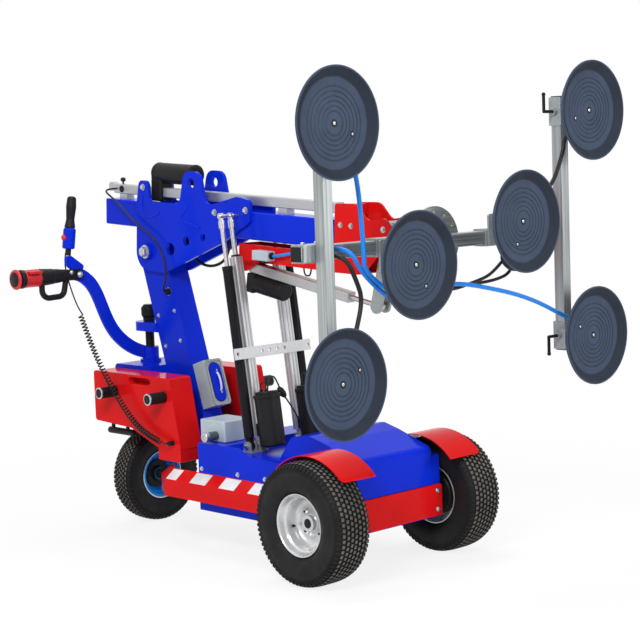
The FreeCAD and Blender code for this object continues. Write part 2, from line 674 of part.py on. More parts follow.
# Boom: a square tube between two cheek castings with lifting eyes
tube_top = TUBE_MID + TUBE / 2
tube_low = TUBE_MID - TUBE / 2
bore = TUBE - 2 * TUBE_WALL
boom_tube = plate_y(square(0, TUBE_MID, TUBE, 7), TUBE_FRONT, TUBE_REAR)
boom_tube = boom_tube.cut(plate_y(square(0, TUBE_MID, bore, 2), TUBE_FRONT - 1, TUBE_REAR - 6))
keep("boom_tube", drooped(boom_tube))

eye_y, eye_z = LIFT_EYE
ear_half = 48.0
cheek = plate_x([(BOSS_CHEEK_R, -BOSS_CHEEK_R, BOSS_CHEEK_R - 2), (-110, -BOSS_CHEEK_R, 70),
                 (-463, 66, 60), (-642, 165, 16), (-642, 252, 20), (-565, 262, 40), (-372, tube_top + 6, 40),
                 (eye_y - ear_half - 4, eye_z + ear_half, ear_half - 4),
                 (eye_y + ear_half, eye_z + ear_half, ear_half - 4),
                 (eye_y + ear_half + 26, tube_top + 6, 40), (-8, tube_top + 6, 12), (4, TAB_TOP, 25), (62, TAB_TOP, 25),
                 (BOSS_CHEEK_R - 6, tube_top + 6, 14)], -cheek_out, -TUBE / 2)
for y, z, radius in ((0, 0, PIVOT_R + RUN), (-147, 20, 27), (-250, 62, 20), (-356, 86, 16),
                     (eye_y, eye_z, LIFT_EYE_R)):
    cheek = cheek.cut(rod_x(y, z, radius, -cheek_out - 1, -TUBE / 2 + 1))
keep("boom_casting", *both_sides(drooped(cheek)))

# Telescope drive on top of the boom
half = SCREW_SIDE / 2
screw = plate_y(square(0, SCREW_MID, SCREW_SIDE, 4), SCREW_FRONT, SCREW_REAR)
screw = screw.cut(rod_y(0, SCREW_MID, SCREW_ROD_R + RUN, SCREW_FRONT - 1, -500))
for y in (235, -780):
    screw = fuse(screw, box(-half, half, y - 25, y + 25, tube_top, SCREW_MID - half))
screw = fuse(screw, plate_x([(SCREW_REAR - 1, SCREW_MID - 12, 0), (SCREW_REAR + 45, SCREW_MID - 12, 12),
                             (SCREW_REAR + 45, SCREW_MID + 32, 16), (SCREW_REAR - 1, SCREW_MID + 18, 0)], -14, 14))
keep("telescope_actuator", drooped(screw))
motor_z = SCREW_MID + half + BOOM_MOTOR_R + BOOM_MOTOR_GAP
gear = softened(box(-half - 14, half + 14, BOOM_MOTOR_REAR - 62, BOOM_MOTOR_REAR + 6, tube_top + 5, motor_z), 9)
gear = gear.cut(plate_y(square(0, SCREW_MID, SCREW_SIDE, 4), SCREW_FRONT, SCREW_REAR))
gear = gear.cut(box(-half, half, SCREW_FRONT, SCREW_REAR, tube_top, SCREW_MID - half + 5))
can = turned_y([(BOOM_MOTOR_END, 0, 0), (BOOM_MOTOR_END, BOOM_MOTOR_R, 10), (BOOM_MOTOR_REAR, BOOM_MOTOR_R, 14),
                (BOOM_MOTOR_REAR, 0, 0)], 0, motor_z)
keep("telescope_motor", drooped(fuse(gear, can)))

# Inner tube with the telescope rod, and the red head frame that they carry
inner = bore - 2 * SLIDE_GAP
inner_front = HEAD_REAR - 112
inner_tube = plate_y(square(0, TUBE_MID, inner, 3), inner_front, INNER_REAR)
inner_tube = inner_tube.cut(plate_y(square(0, TUBE_MID, inner - 2 * INNER_WALL, 2), inner_front - 1,
                                    INNER_REAR + 1))
rod_end = HEAD_REAR - 28
keep("inner_tube", drooped(inner_tube), drooped(rod_y(0, SCREW_MID, SCREW_ROD_R, rod_end, -600)))

head_out = HEAD_PLATE_IN + HEAD_PLATE_T
pivot_y, pivot_z = HEAD_PIVOT
head_plate = plate_x([(HEAD_REAR, CHANNEL_BOTTOM, 6), (HEAD_REAR, SCREW_MID + 21, 12),
                      (pivot_y + 142, SCREW_MID + 27, 50), (pivot_y + 80, pivot_z + 26, 40),
                      (pivot_y - 10, pivot_z + 44, 34), (pivot_y - 48, pivot_z - 6, 26),
                      (pivot_y + 26, pivot_z - 96, 40), (pivot_y + 104, CHANNEL_BOTTOM + 4, 50)],
                     HEAD_PLATE_IN, head_out)
head_plate = head_plate.cut(rod_x(pivot_y, pivot_z, HEAD_PIN_R + RUN, HEAD_PLATE_IN - 1, head_out + 1))
channel_front = HEAD_REAR - 105
channel = box(-HEAD_PLATE_IN, HEAD_PLATE_IN, channel_front, CHANNEL_REAR, CHANNEL_BOTTOM, CHANNEL_TOP)
channel = channel.cut(box(-HEAD_PLATE_IN + CHANNEL_T, HEAD_PLATE_IN - CHANNEL_T, channel_front - 1,
                          CHANNEL_REAR - CHANNEL_T, CHANNEL_BOTTOM + CHANNEL_T, CHANNEL_TOP + 1))
spacer = box(inner / 2, HEAD_PLATE_IN, inner_front + 6, HEAD_REAR - 8, TUBE_MID - 42, TUBE_MID + 42)
bridge = box(-HEAD_PLATE_IN, HEAD_PLATE_IN, rod_end - 26, rod_end, SCREW_MID - 20, SCREW_MID + 20)
tilt_y = TILT_BASE[0] - PIVOT_Y
tilt_z = TILT_BASE[1] - PIVOT_Z
turn = math.radians(DROOP)
base_y = tilt_y * math.cos(turn) + tilt_z * math.sin(turn)
base_z = -tilt_y * math.sin(turn) + tilt_z * math.cos(turn)
tilt_eye_half = TILT_SIDE / 2 + SIDE_PLAY
lug = plate_x([(base_y + 20, base_z - 20, 18), (base_y + 20, CHANNEL_BOTTOM + 4, 14),
               (base_y - 100, CHANNEL_BOTTOM + 4, 0), (base_y - 100, CHANNEL_BOTTOM - 2, 0),
               (base_y - 22, base_z - 20, 18)], tilt_eye_half + SIDE_PLAY, tilt_eye_half + SIDE_PLAY + 10)
tilt_pin = rod_x(base_y, base_z, PIN_R, -tilt_eye_half - 16, tilt_eye_half + 16)
head = fuse(channel, *both_sides(head_plate), *both_sides(spacer), bridge, *both_sides(lug), tilt_pin)
keep("head_frame", drooped(head))
vacuum = softened(box(-HEAD_PLATE_IN - 42, -HEAD_PLATE_IN, -780, -690, CHANNEL_BOTTOM + 14, CHANNEL_TOP - 16), 3)
keep("vacuum_block", drooped(vacuum))

# Tilt actuator that swings the head
tilt_length = span(TILT_BASE, TILT_EYE)
half = TILT_SIDE / 2
tilt_foot = fuse(rod_x(0, 0, eye_r, -tilt_eye_half, tilt_eye_half), box(-tilt_eye_half, tilt_eye_half, -11, 11, 0, 32))
tilt_foot = tilt_foot.cut(rod_x(0, 0, PIN_R + RUN, -tilt_eye_half - 1, tilt_eye_half + 1))
tilt = fuse(plate_z(square(0, 0, TILT_SIDE, 4), 30, TILT_BARREL), tilt_foot)
tilt = tilt.cut(rod_z(0, 0, TILT_ROD_R + RUN, 60, TILT_BARREL + 1))
keep("tilt_actuator", along(tilt, TILT_BASE, TILT_EYE))
below = half + 2 + TILT_MOTOR_R
# Drawn up Z and then leaned forward, so that -Y becomes the underside
gear = softened(box(-34, 34, -half - 2 * TILT_MOTOR_R - 2, -half, 32, 76), 7)
can = turned_z([(0, 70, 0), (TILT_MOTOR_R, 70, 0), (TILT_MOTOR_R, 232, 9), (0, 232, 0)], 0, -below)
keep("tilt_motor", along(fuse(gear, can), TILT_BASE, TILT_EYE))
tilt_rod = fuse(rod_z(0, 0, TILT_ROD_R, 250, tilt_length - 10), rod_x(0, tilt_length, eye_r - 1, -9, 9),
                rod_x(0, tilt_length, PIN_R, -LEVER_IN + SIDE_PLAY, LEVER_IN - SIDE_PLAY))
keep("tilt_rod", along(tilt_rod, TILT_BASE, TILT_EYE))

# Tilt bracket: pivot barrel, two lever plates, hub of the yoke and the lug of the index plunger
head_y, head_z = boom_place(*HEAD_PIVOT)
barrel_half = HEAD_PLATE_IN - SIDE_PLAY
lever_end = 25.0
beam_back = BEAM_Y + BEAM / 2
hub_face = beam_back + INDEX_T + SIDE_PLAY
hub_r = 56.0
down = span((head_y, head_z), TILT_EYE)
lever = plate_x([(-lever_end, -lever_end, lever_end - 1), (lever_end, -lever_end, lever_end - 1),
                 (lever_end + 9, down + lever_end, lever_end), (-lever_end - 9, down + lever_end, lever_end)],
                LEVER_IN, LEVER_IN + LEVER_T)
lever = along(lever, TILT_EYE, (head_y, head_z))
plunger_x = INDEX_CIRCLE * math.cos(math.radians(PLUNGER_TURN))
plunger_z = YOKE_Z + INDEX_CIRCLE * math.sin(math.radians(PLUNGER_TURN))
arm = plate_y([(-18, 0, 0), (18, 0, 0), (18, INDEX_CIRCLE + 18, 17), (-18, INDEX_CIRCLE + 18, 17)],
              hub_face, hub_face + 10)
arm.rotate(vec(0, 0, 0), vec(0, 1, 0), 90 - PLUNGER_TURN)
arm.translate(vec(0, 0, YOKE_Z))
bracket = fuse(rod_x(head_y, head_z, 30, -barrel_half, barrel_half),
               rod_x(head_y, head_z, HEAD_PIN_R, -head_out, head_out), *both_sides(lever),
               rod_y(0, YOKE_Z, hub_r, hub_face, hub_face + 90),
               plate_x([(hub_face + 88, YOKE_Z - 50, 0), (hub_face + 88, YOKE_Z + 50, 0),
                        (head_y, head_z + 28, 0), (head_y, head_z - 28, 0)], -36, 36),
               rod_y(0, YOKE_Z, 20, beam_back + 1, hub_face + 5), arm)
bracket = bracket.cut(rod_y(plunger_x, plunger_z, PLUNGER_R + RUN, hub_face - 20, hub_face + 30))
keep("tilt_bracket", bracket)

plunger = turned_y([(beam_back + 4, 0, 0), (beam_back + 4, PLUNGER_R, 1.5), (hub_face + 10.5, PLUNGER_R, 0),
                    (hub_face + 10.5, 14, 3), (hub_face + 22, 9, 6), (hub_face + 32, 15, 6),
                    (hub_face + 44, 15, 6), (hub_face + 44, 0, 0)], plunger_x, plunger_z)
keep("index_plunger", plunger)

# Yoke: cross beam, index plate and the two bars on their clamps
beam_inner = BEAM - 2 * BEAM_WALL


def square_x(y, z, side, radius, x0, x1):
    return plate_x(square(y, z, side, radius), x0, x1)


beam = square_x(BEAM_Y, YOKE_Z, BEAM, 5, -BEAM_HALF, BEAM_HALF)
beam = beam.cut(square_x(BEAM_Y, YOKE_Z, beam_inner, 2, -BEAM_HALF - 1, BEAM_HALF + 1))
index = rod_y(0, YOKE_Z, INDEX_R, beam_back, beam_back + INDEX_T)
index = index.cut(rod_y(0, YOKE_Z, 20 + RUN, beam_back - 1, beam_back + INDEX_T + 1))
for i in range(INDEX_COUNT):
    turn = 2 * math.pi * i / INDEX_COUNT
    index = index.cut(rod_y(INDEX_CIRCLE * math.cos(turn), YOKE_Z + INDEX_CIRCLE * math.sin(turn),
                            PLUNGER_R + RUN, beam_back - 1, beam_back + INDEX_T + 1))
keep("yoke_beam", fuse(beam, index))

BAR_Y = BEAM_Y - CLAMP / 2 - BAR / 2
bars = []
for side, name in ((-1, "right"), (1, "left")):
    middle = YOKE_Z + BAR_RISE[name]
    x = side * BAR_X
    bar = plate_z(square(x, BAR_Y, BAR, 4), middle - BAR_L / 2, middle + BAR_L / 2)
    bar = bar.cut(plate_z(square(x, BAR_Y, BAR - 2 * BAR_WALL, 2), middle - BAR_L / 2 - 1, middle + BAR_L / 2 + 1))
    start = min(x - side * (BAR / 2 + 14), x - side * (BAR / 2 + 14) + side * CLAMP_L)
    clamp = square_x(BEAM_Y, YOKE_Z, CLAMP, 4, start, start + CLAMP_L)
    clamp = clamp.cut(square_x(BEAM_Y, YOKE_Z, BEAM + 2 * SLIP, 5, start - 1, start + CLAMP_L + 1))
    bars.append(fuse(bar, clamp))
keep("yoke_bars", *bars)


# Suction discs: a soft cup with a thin lip on a steel back plate
def disc(x, z, port_turn):
    flat = DISC_LIP_Y + DISC_DEEP
    back = flat + DISC_T
    shape = turned_y([(flat, 0, 0), (flat, DISC_FLAT_R, 4), (DISC_LIP_Y, DISC_R - LIP, 0), (DISC_LIP_Y, DISC_R, 0),
                      (DISC_LIP_Y + 5, DISC_R, 2), (back - 3, DISC_FLAT_R + 4, 6), (back, DISC_FLAT_R - 12, 4),
                      (back, 0, 0)], x, z)
    turn = math.radians(port_turn)
    for px, pz in ((x, z), (x + PORT_CIRCLE * math.cos(turn), z + PORT_CIRCLE * math.sin(turn))):
        shape = shape.cut(rod_y(px, pz, PORT_R, flat - 1, flat + 9))
    return shape


disc_back = DISC_LIP_Y + DISC_DEEP + DISC_T


def holder(x, z, tube_y, outer, tube_bore, upright, off_x, off_z):
    """Sleeve on a square tube, with a face plate, a post and the steel plate behind a disc."""
    front = tube_y - outer / 2
    if upright:
        sleeve = plate_z(square(x, tube_y, outer, 4), z - SLEEVE_L / 2, z + SLEEVE_L / 2)
        sleeve = sleeve.cut(plate_z(square(x, tube_y, tube_bore, 3), z - SLEEVE_L, z + SLEEVE_L))
    else:
        sleeve = square_x(tube_y, z, outer, 4, x - SLEEVE_L / 2, x + SLEEVE_L / 2)
        sleeve = sleeve.cut(square_x(tube_y, z, tube_bore, 3, x - SLEEVE_L, x + SLEEVE_L))
    reach_x = outer / 2 - 4 if upright else SLEEVE_L / 2 - 6
    reach_z = SLEEVE_L / 2 - 6 if upright else outer / 2 - 4
    x0 = min(x - reach_x, x + off_x - POST_R - 4)
    x1 = max(x + reach_x, x + off_x + POST_R + 4)
    z0 = min(z - reach_z, z + off_z - POST_R - 4)
    z1 = max(z + reach_z, z + off_z + POST_R + 4)
    face = plate_y([(x0, z0, 8), (x1, z0, 8), (x1, z1, 8), (x0, z1, 8)], front - CARRIER_T, front)
    post = rod_y(x + off_x, z + off_z, POST_R, disc_back, front - CARRIER_T)
    plate = rod_y(x + off_x, z + off_z, BACK_R, disc_back, disc_back + BACK_T)
    return fuse(sleeve, face, post, plate)


middle_discs = []
middle_holders = []
for x, up, port in ((MIDDLE_X[0], -1, -59), (MIDDLE_X[1], 1, -113)):
    middle_discs.append(disc(x, YOKE_Z + up * MIDDLE_OFFSET, port))
    middle_holders.append(holder(x, YOKE_Z, BEAM_Y, BEAM + 2 * SLIP + 2 * SLEEVE_WALL, BEAM + 2 * SLIP, False,
                                 0, up * MIDDLE_OFFSET))
keep("middle_discs", *middle_discs)
keep("middle_carriages", *middle_holders)

STUD_R = 6.0
LEVER_OUT = 62.0
LEVER_LONG = 64.0
carriage_z = {}
for side, name, ports in ((-1, "right", (-24, 26)), (1, "left", (-161, 154))):
    for up, level, port in ((1, "upper", ports[0]), (-1, "lower", ports[1])):
        key = level + "_" + name
        z = YOKE_Z + BAR_RISE[name] + up * REACH
        carriage_z[key] = z
        x = side * BAR_X
        outer = BAR + 2 * SLIP + 2 * SLEEVE_WALL
        keep("suction_disc_" + key, disc(x + side * SIDE_OFFSET, z, port))
        body = holder(x, z, BAR_Y, outer, BAR + 2 * SLIP, True, side * SIDE_OFFSET, 0)
        wall = x - side * outer / 2
        nut = rod_x(BAR_Y, z, 13, min(wall, wall - side * 12), max(wall, wall - side * 12))
        body = fuse(body, nut)
        body = body.cut(rod_x(BAR_Y, z, STUD_R + RUN, min(x, wall - side * 20), max(x, wall - side * 20)))
        keep("carriage_" + key, body)
        tip = vec(x - side * (BAR / 2 + SIDE_PLAY), BAR_Y, z)
        elbow = vec(wall - side * LEVER_OUT, BAR_Y, z)
        end = vec(wall - side * LEVER_OUT, BAR_Y, z + up * LEVER_LONG)
        handle = fuse(rod(tip, elbow, STUD_R), Part.makeSphere(STUD_R, elbow), rod(elbow, end, STUD_R),
                      Part.makeSphere(STUD_R + 1.5, end))
        keep("clamp_handle_" + key, handle)


# Steering: spindle, single-sided fork, rear wheel, tiller and its handle
crown_low = REAR_D + CROWN_GAP
crown_top = crown_low + CROWN_T
leg_y = SPINDLE_Y + REAR_W / 2 + 14
crown = plate_z([(-46, SPINDLE_Y - 46, 44), (46, SPINDLE_Y - 46, 44), (46, leg_y + LEG_T, 6),
                 (-46, leg_y + LEG_T, 6)], crown_low, crown_top)
leg = plate_y([(-46, crown_top, 0), (46, crown_top, 0), (34, REAR_Z - 34, 33), (-34, REAR_Z - 34, 33)],
              leg_y, leg_y + LEG_T)
stub_end = SPINDLE_Y - 26
knob_low = EAR_Z + EAR_T + SIDE_PLAY
knob = turned_z([(0, knob_low, 0), (26, knob_low, 4), (26, knob_low + 14, 4), (33, knob_low + 26, 8),
                 (33, knob_low + 58, 14), (20, knob_low + 72, 6), (0, knob_low + 72, 0)], 0, SPINDLE_Y)
fork = fuse(crown, leg, rod_z(0, SPINDLE_Y, SPINDLE_R, crown_top - 5, knob_low + 20),
            rod_z(0, SPINDLE_Y, BOSS_R - 6, crown_top, FRAME_BOTTOM - SIDE_PLAY), knob,
            rod_y(0, REAR_Z, REAR_AXLE_R, stub_end, leg_y + LEG_T + 10),
            rod_y(0, REAR_Z, REAR_AXLE_R + 9, stub_end - 14, stub_end))
keep("steering_fork", fork)


def rear_wheel():
    half = REAR_W / 2
    seat_half = 0.64 * half
    seat_r = REAR_RIM_D / 2 - 10
    tyre_r = REAR_D / 2
    tyre = [(-seat_half, seat_r, 0), (-seat_half, REAR_RIM_D / 2 + 2, 5), (-half, REAR_RIM_D / 2 + 40, 36),
            (-half + 5, tyre_r - 20, 22), (-half + 24, tyre_r, 24), (half - 24, tyre_r, 24),
            (half - 5, tyre_r - 20, 22), (half, REAR_RIM_D / 2 + 40, 36), (seat_half, REAR_RIM_D / 2 + 2, 5),
            (seat_half, seat_r, 0)]
    wall = seat_r - 6
    hub = 30.0
    bore_r = REAR_AXLE_R + RUN
    rim = [(-seat_half - 7, REAR_RIM_D / 2, 2), (-seat_half, REAR_RIM_D / 2, 2), (-seat_half, seat_r, 0),
           (seat_half, seat_r, 0), (seat_half, REAR_RIM_D / 2, 2), (seat_half + 7, REAR_RIM_D / 2, 2),
           (seat_half + 7, wall, 2), (18, wall, 10), (18, hub, 4), (half + 13, hub, 2), (half + 13, bore_r, 0),
           (-25, bore_r, 0), (-25, hub, 3), (6, hub, 6), (6, wall, 12), (-seat_half - 7, wall, 2)]
    shapes = []
    for profile in (rim, tyre):
        shape = turned_y(profile, 0, REAR_Z)
        shape.translate(vec(0, SPINDLE_Y, 0))
        shapes.append(shape)
    return shapes


rear_rim, rear_tyre = rear_wheel()
keep("rear_rim", rear_rim)
keep("rear_tyre", rear_tyre)

ARM_T = 14.0
ARM_HALF = 27.0
KNUCKLE = (-365.0, 1090.0)
COLLAR_LOW = FRAME_TOP + BOSS_H + SIDE_PLAY
COLLAR_H = 52.0
ARM_LINE = [(0.0, COLLAR_LOW + COLLAR_H / 2), (-135.0, 783.0), (-195.0, 845.0), (-247.0, 950.0), (-290.0, 1036.0),
            KNUCKLE]


def ribbon(line, half, y0, y1):
    """Plate of constant width along a smooth line in X and Z."""
    curve = Part.BSplineCurve()
    curve.interpolate([vec(a, 0, b) for a, b in line])
    first, last = curve.FirstParameter, curve.LastParameter
    edges = []
    for hand in (1, -1):
        points = []
        for i in range(13):
            t = first + (last - first) * i / 12
            point = curve.value(t)
            tangent = curve.tangent(t)[0]
            points.append(vec(point.x - hand * half * tangent.z, y0, point.z + hand * half * tangent.x))
        edge = Part.BSplineCurve()
        edge.interpolate(points if hand > 0 else points[::-1])
        edges.append(edge)
    ends = [(e.StartPoint, e.EndPoint) for e in edges]
    wire = Part.Wire([edges[0].toShape(), Part.makeLine(ends[0][1], ends[1][0]), edges[1].toShape(),
                      Part.makeLine(ends[1][1], ends[0][0])])
    return Part.Face(wire).extrude(vec(0, y1 - y0, 0))


arm_y0 = SPINDLE_Y - ARM_T / 2
arm_y1 = SPINDLE_Y + ARM_T / 2
kx, kz = KNUCKLE
NECK_X = -405.0
GRIP_LOW = 1197.0
GRIP_TOP = 1284.0
arm_plate = ribbon(ARM_LINE, ARM_HALF, arm_y0, arm_y1)
neck_plate = plate_y([(kx + 20, kz, 0), (kx + 34, kz + 34, 10), (NECK_X + 13, kz + 78, 8), (NECK_X - 13, kz + 78, 8),
                      (NECK_X - 13, kz + 40, 14), (kx - 8, kz + 8, 10)], arm_y0, arm_y1)
tiller = fuse(arm_plate, rod_y(kx, kz, ARM_HALF, arm_y0, arm_y1), neck_plate,
              rod_z(0, SPINDLE_Y, 36, COLLAR_LOW, COLLAR_LOW + COLLAR_H),
              rod_y(kx, kz, PIN_R, arm_y0 - 16, arm_y1 + 16))
tiller = tiller.cut(rod_z(0, SPINDLE_Y, SPINDLE_R, COLLAR_LOW - COLLAR_H, COLLAR_LOW + 2 * COLLAR_H))

# Wand on the tiller: blue sleeve with a red button, black grip on a thin neck
SLEEVE_R = 26.0
BUTTON_Z = 1242.0
BUTTON_R = 12.0
WAND_LEAN = 8.0
NECK_R = 12.0
NECK_LOW = kz + 78


def leaned(shape):
    """Lean a piece of the wand about the foot of its neck."""
    moved = shape.copy()
    moved.rotate(vec(NECK_X, SPINDLE_Y, NECK_LOW), vec(0, 1, 0), WAND_LEAN)
    return moved


sleeve = turned_z([(0, GRIP_LOW, 0), (SLEEVE_R, GRIP_LOW, 8), (SLEEVE_R, GRIP_TOP, 10), (0, GRIP_TOP, 0)],
                  NECK_X, SPINDLE_Y)
pocket = rod_x(SPINDLE_Y, BUTTON_Z, BUTTON_R + SLIP, NECK_X - SLEEVE_R - 5, NECK_X - SLEEVE_R + 12)
sleeve = sleeve.cut(pocket)
keep("tiller_arm", tiller, leaned(sleeve))
grip = turned_z([(0, GRIP_TOP, 0), (23, GRIP_TOP, 3), (17, GRIP_TOP + 34, 30), (21, GRIP_TOP + 86, 30),
                 (18, GRIP_TOP + 130, 12), (0, GRIP_TOP + 130, 0)], NECK_X, SPINDLE_Y)
neck = rod_z(NECK_X, SPINDLE_Y, NECK_R, NECK_LOW + NECK_R * math.sin(math.radians(WAND_LEAN)), GRIP_LOW)
keep("wand_grip", leaned(grip), leaned(neck))
wand_button = turned_x([(NECK_X - SLEEVE_R - 8, 0, 0), (NECK_X - SLEEVE_R - 8, BUTTON_R, 6),
                        (NECK_X - SLEEVE_R + 6, BUTTON_R, 0), (NECK_X - SLEEVE_R + 6, 0, 0)], SPINDLE_Y, BUTTON_Z)
keep("wand_button", leaned(wand_button))

# Tiller handle: forked root on the knuckle, grip, hand guard, twist throttle and belly button
HANDLE_END = -650.0
HANDLE_CAP_R = 38.0
CORE_R = 28.0
CORE_FROM = -631.0
CORE_TO = -556.0
GRIP_R = 35.0
GRIP_MID_R = 29.0
GRIP_ROOT_R = 24.0
GUARD_X = (-540.0, -436.0)
GUARD_DROP = (88.0, 84.0)
GUARD_R = 12.0
THROTTLE_R = 36.0
PADDLE_HALF = 46.0
BELLY_R = 41.0
BELLY_OUT = 20.0
BELLY_GAP = 9.0
STEM_R = 16.0
STEM_IN = 8.0
FORK_T = 9.0
root_half = 22.0
ears = []
for hand in (-1, 1):
    near = SPINDLE_Y + hand * (ARM_T / 2 + SIDE_PLAY)
    far = near + hand * FORK_T
    ears.append(plate_y([(kx + root_half, kz - root_half, 21), (kx + root_half, kz + root_half, 21),
                         (kx - 60, kz + root_half, 0), (kx - 60, kz - root_half, 0)], min(near, far), max(near, far)))
root = box(kx - 62, kx - ARM_HALF - 4, SPINDLE_Y - ARM_T / 2 - FORK_T, SPINDLE_Y + ARM_T / 2 + FORK_T,
           kz - root_half, kz + root_half)
handle_grip = turned_x([(HANDLE_END, 0, 0), (HANDLE_END, HANDLE_CAP_R, 6), (CORE_FROM, HANDLE_CAP_R, 2),
                        (CORE_FROM, CORE_R, 0), (CORE_TO, CORE_R, 0), (CORE_TO, GRIP_R, 6), (kx - 100, GRIP_MID_R, 40),
                        (kx - 58, GRIP_ROOT_R, 0), (kx - 58, 0, 0)], SPINDLE_Y, kz)
guard_path = outline([(GUARD_X[0], kz, 0), (GUARD_X[0], kz - GUARD_DROP[0], 34),
                      (GUARD_X[1], kz - GUARD_DROP[1], 30), (kx - 52, kz, 0)], lambda a, b: vec(a, SPINDLE_Y, b))
guard_edges = guard_path.OrderedEdges[:-1]
guard_ring = Part.makeCircle(GUARD_R, vec(GUARD_X[0], SPINDLE_Y, kz), vec(0, 0, -1))
guard = Part.Wire(guard_edges).makePipeShell([Part.Wire(guard_ring)], True, False)
handle = fuse(handle_grip, root, *ears, guard)
handle = handle.cut(rod_y(kx, kz, PIN_R + RUN, SPINDLE_Y - 40, SPINDLE_Y + 40))
handle = handle.cut(rod_x(SPINDLE_Y, kz, STEM_R + SLIP, HANDLE_END - 1, HANDLE_END + STEM_IN + BELLY_GAP))
keep("tiller_handle", handle)
throttle = turned_x([(CORE_FROM + 1, CORE_R + RUN, 0), (CORE_FROM + 1, THROTTLE_R, 3), (CORE_TO - 1, THROTTLE_R, 3),
                     (CORE_TO - 1, CORE_R + RUN, 0)], SPINDLE_Y, kz)
paddle = box(CORE_FROM + 8, CORE_TO - 8, SPINDLE_Y - PADDLE_HALF, SPINDLE_Y + PADDLE_HALF, kz + 20, kz + 30)
paddle = paddle.cut(rod_x(SPINDLE_Y, kz, CORE_R + RUN, CORE_FROM, CORE_TO))
keep("throttle", fuse(throttle, paddle))
belly = turned_x([(HANDLE_END - BELLY_OUT, 0, 0), (HANDLE_END - BELLY_OUT, BELLY_R, 7),
                  (HANDLE_END - BELLY_GAP, BELLY_R, 3), (HANDLE_END - BELLY_GAP, STEM_R, 0),
                  (HANDLE_END + STEM_IN, STEM_R, 0), (HANDLE_END + STEM_IN, 0, 0)], SPINDLE_Y, kz)
keep("belly_button", belly)


# Cords: round tubes with straight runs and arcs at the corners
def path(points, bend):
    """Open wire through points, with an arc at each corner as wide as its runs allow, up to bend."""
    corners = [vec(*p) for p in points]
    edges = []
    last = corners[0]
    for before, here, after in zip(corners, corners[1:], corners[2:]):
        back = before - here
        ahead = after - here
        cut = min(bend, 0.45 * back.Length, 0.45 * ahead.Length)
        back.normalize()
        ahead.normalize()
        start = here + back * cut
        end = here + ahead * cut
        weight = (end - start).Length / 2 / cut
        middle = (start + here * (2 * weight) + end) * (1 / (2 * (1 + weight)))
        edges.append(Part.makeLine(last, start))
        edges.append(Part.Arc(start, middle, end).toShape())
        last = end
    edges.append(Part.makeLine(last, corners[-1]))
    return Part.Wire(edges)


def hose(points, radius, bend):
    wire = path(points, bend)
    ahead = vec(*points[1]) - vec(*points[0])
    ring = Part.Wire(Part.makeCircle(radius, vec(*points[0]), ahead))
    return wire.makePipeShell([ring], True, False)


HOSE_R = 8.0
HOSE_BEND = 60.0
HOSE_Y = -455.0
HOSE_BACK_Y = -438.0
hose_seat = disc_back + SLIP
beam_seat = BEAM_Y - BEAM / 2 - SLIP
HOSES = [
    [(-560, hose_seat, 1560), (-560, HOSE_Y, 1560), (-518, HOSE_Y, 1475), (-498, HOSE_Y, 1214), (-500, HOSE_Y, 1165),
     (-405, HOSE_Y, 1095), (-405, hose_seat, 1095)],
    [(-545, beam_seat, 1238), (-545, HOSE_BACK_Y, 1238), (-500, HOSE_BACK_Y, 1160), (-375, HOSE_BACK_Y, 1060),
     (-375, hose_seat, 1060)],
    [(-195, hose_seat, 1090), (-195, HOSE_Y, 1090), (-54, HOSE_Y, 1086), (56, HOSE_Y, 1071), (341, HOSE_Y, 1007),
     (585, HOSE_Y, 900), (585, hose_seat, 900)],
    [(575, hose_seat, 1590), (575, HOSE_Y, 1590), (560, HOSE_Y, 1520), (488, HOSE_Y, 1395), (370, HOSE_Y, 1360),
     (370, hose_seat, 1360)],
    [(-575, hose_seat, 890), (-575, HOSE_Y, 890), (-552, HOSE_Y, 954), (-495, HOSE_BACK_Y, 1065),
     (-520, HOSE_BACK_Y, 1130), (-570, HOSE_BACK_Y, 1218), (-570, beam_seat, 1218)],
    [(200, hose_seat, 1175), (200, HOSE_Y, 1175), (205, HOSE_Y, 1140), (260, HOSE_Y, 1108), (330, HOSE_Y, 1122),
     (345, HOSE_Y, 1180), (345, hose_seat, 1180)],
]
keep("yoke_hoses", *[hose(points, HOSE_R, HOSE_BEND) for points in HOSES])

CABLE_R = 4.0
CABLE_X = -94.0
CABLE = [(-SCREW_SIDE / 2 - SLIP, 1523, 1431), (-50, 1523, 1431), (CABLE_X, 1512, 1423), (CABLE_X, 1437, 1385),
         (CABLE_X, 1305, 1288), (CABLE_X, 1180, 1230), (CABLE_X, 1120, 1150), (CABLE_X, 1108, 1060),
         (CABLE_X, 1150, 1000), (-MAST_HALF - SLIP, 1150, 1000)]
keep("boom_cable", hose(CABLE, CABLE_R, 60.0))

# Curly cord from the wand to the weight: a lead, a helix round a sagging line, and the plugged end
CURL_WIRE_R = 3.0
CURL_R = 10.0
CURLS = 48
CURL_LINE = [(-343, 1380, 918), (-312, 1362, 800), (-294, 1320, 700), (-289, 1245, 605), (-285, 1170, 520),
             (-283, 1090, 460), (-281, 1020, 432), (-280, 965, 418)]
LEAD = [(NECK_X, SPINDLE_Y + NECK_R + CURL_WIRE_R + SLIP, 1182), (NECK_X, SPINDLE_Y + 30, 1140),
        (-386, SPINDLE_Y + 32, 1060), (-356, SPINDLE_Y + 28, 965)]
TAIL = [(-290, 935, 412), (-WEIGHT_OUT - GLAND_L - SLIP, *GLAND_AT)]


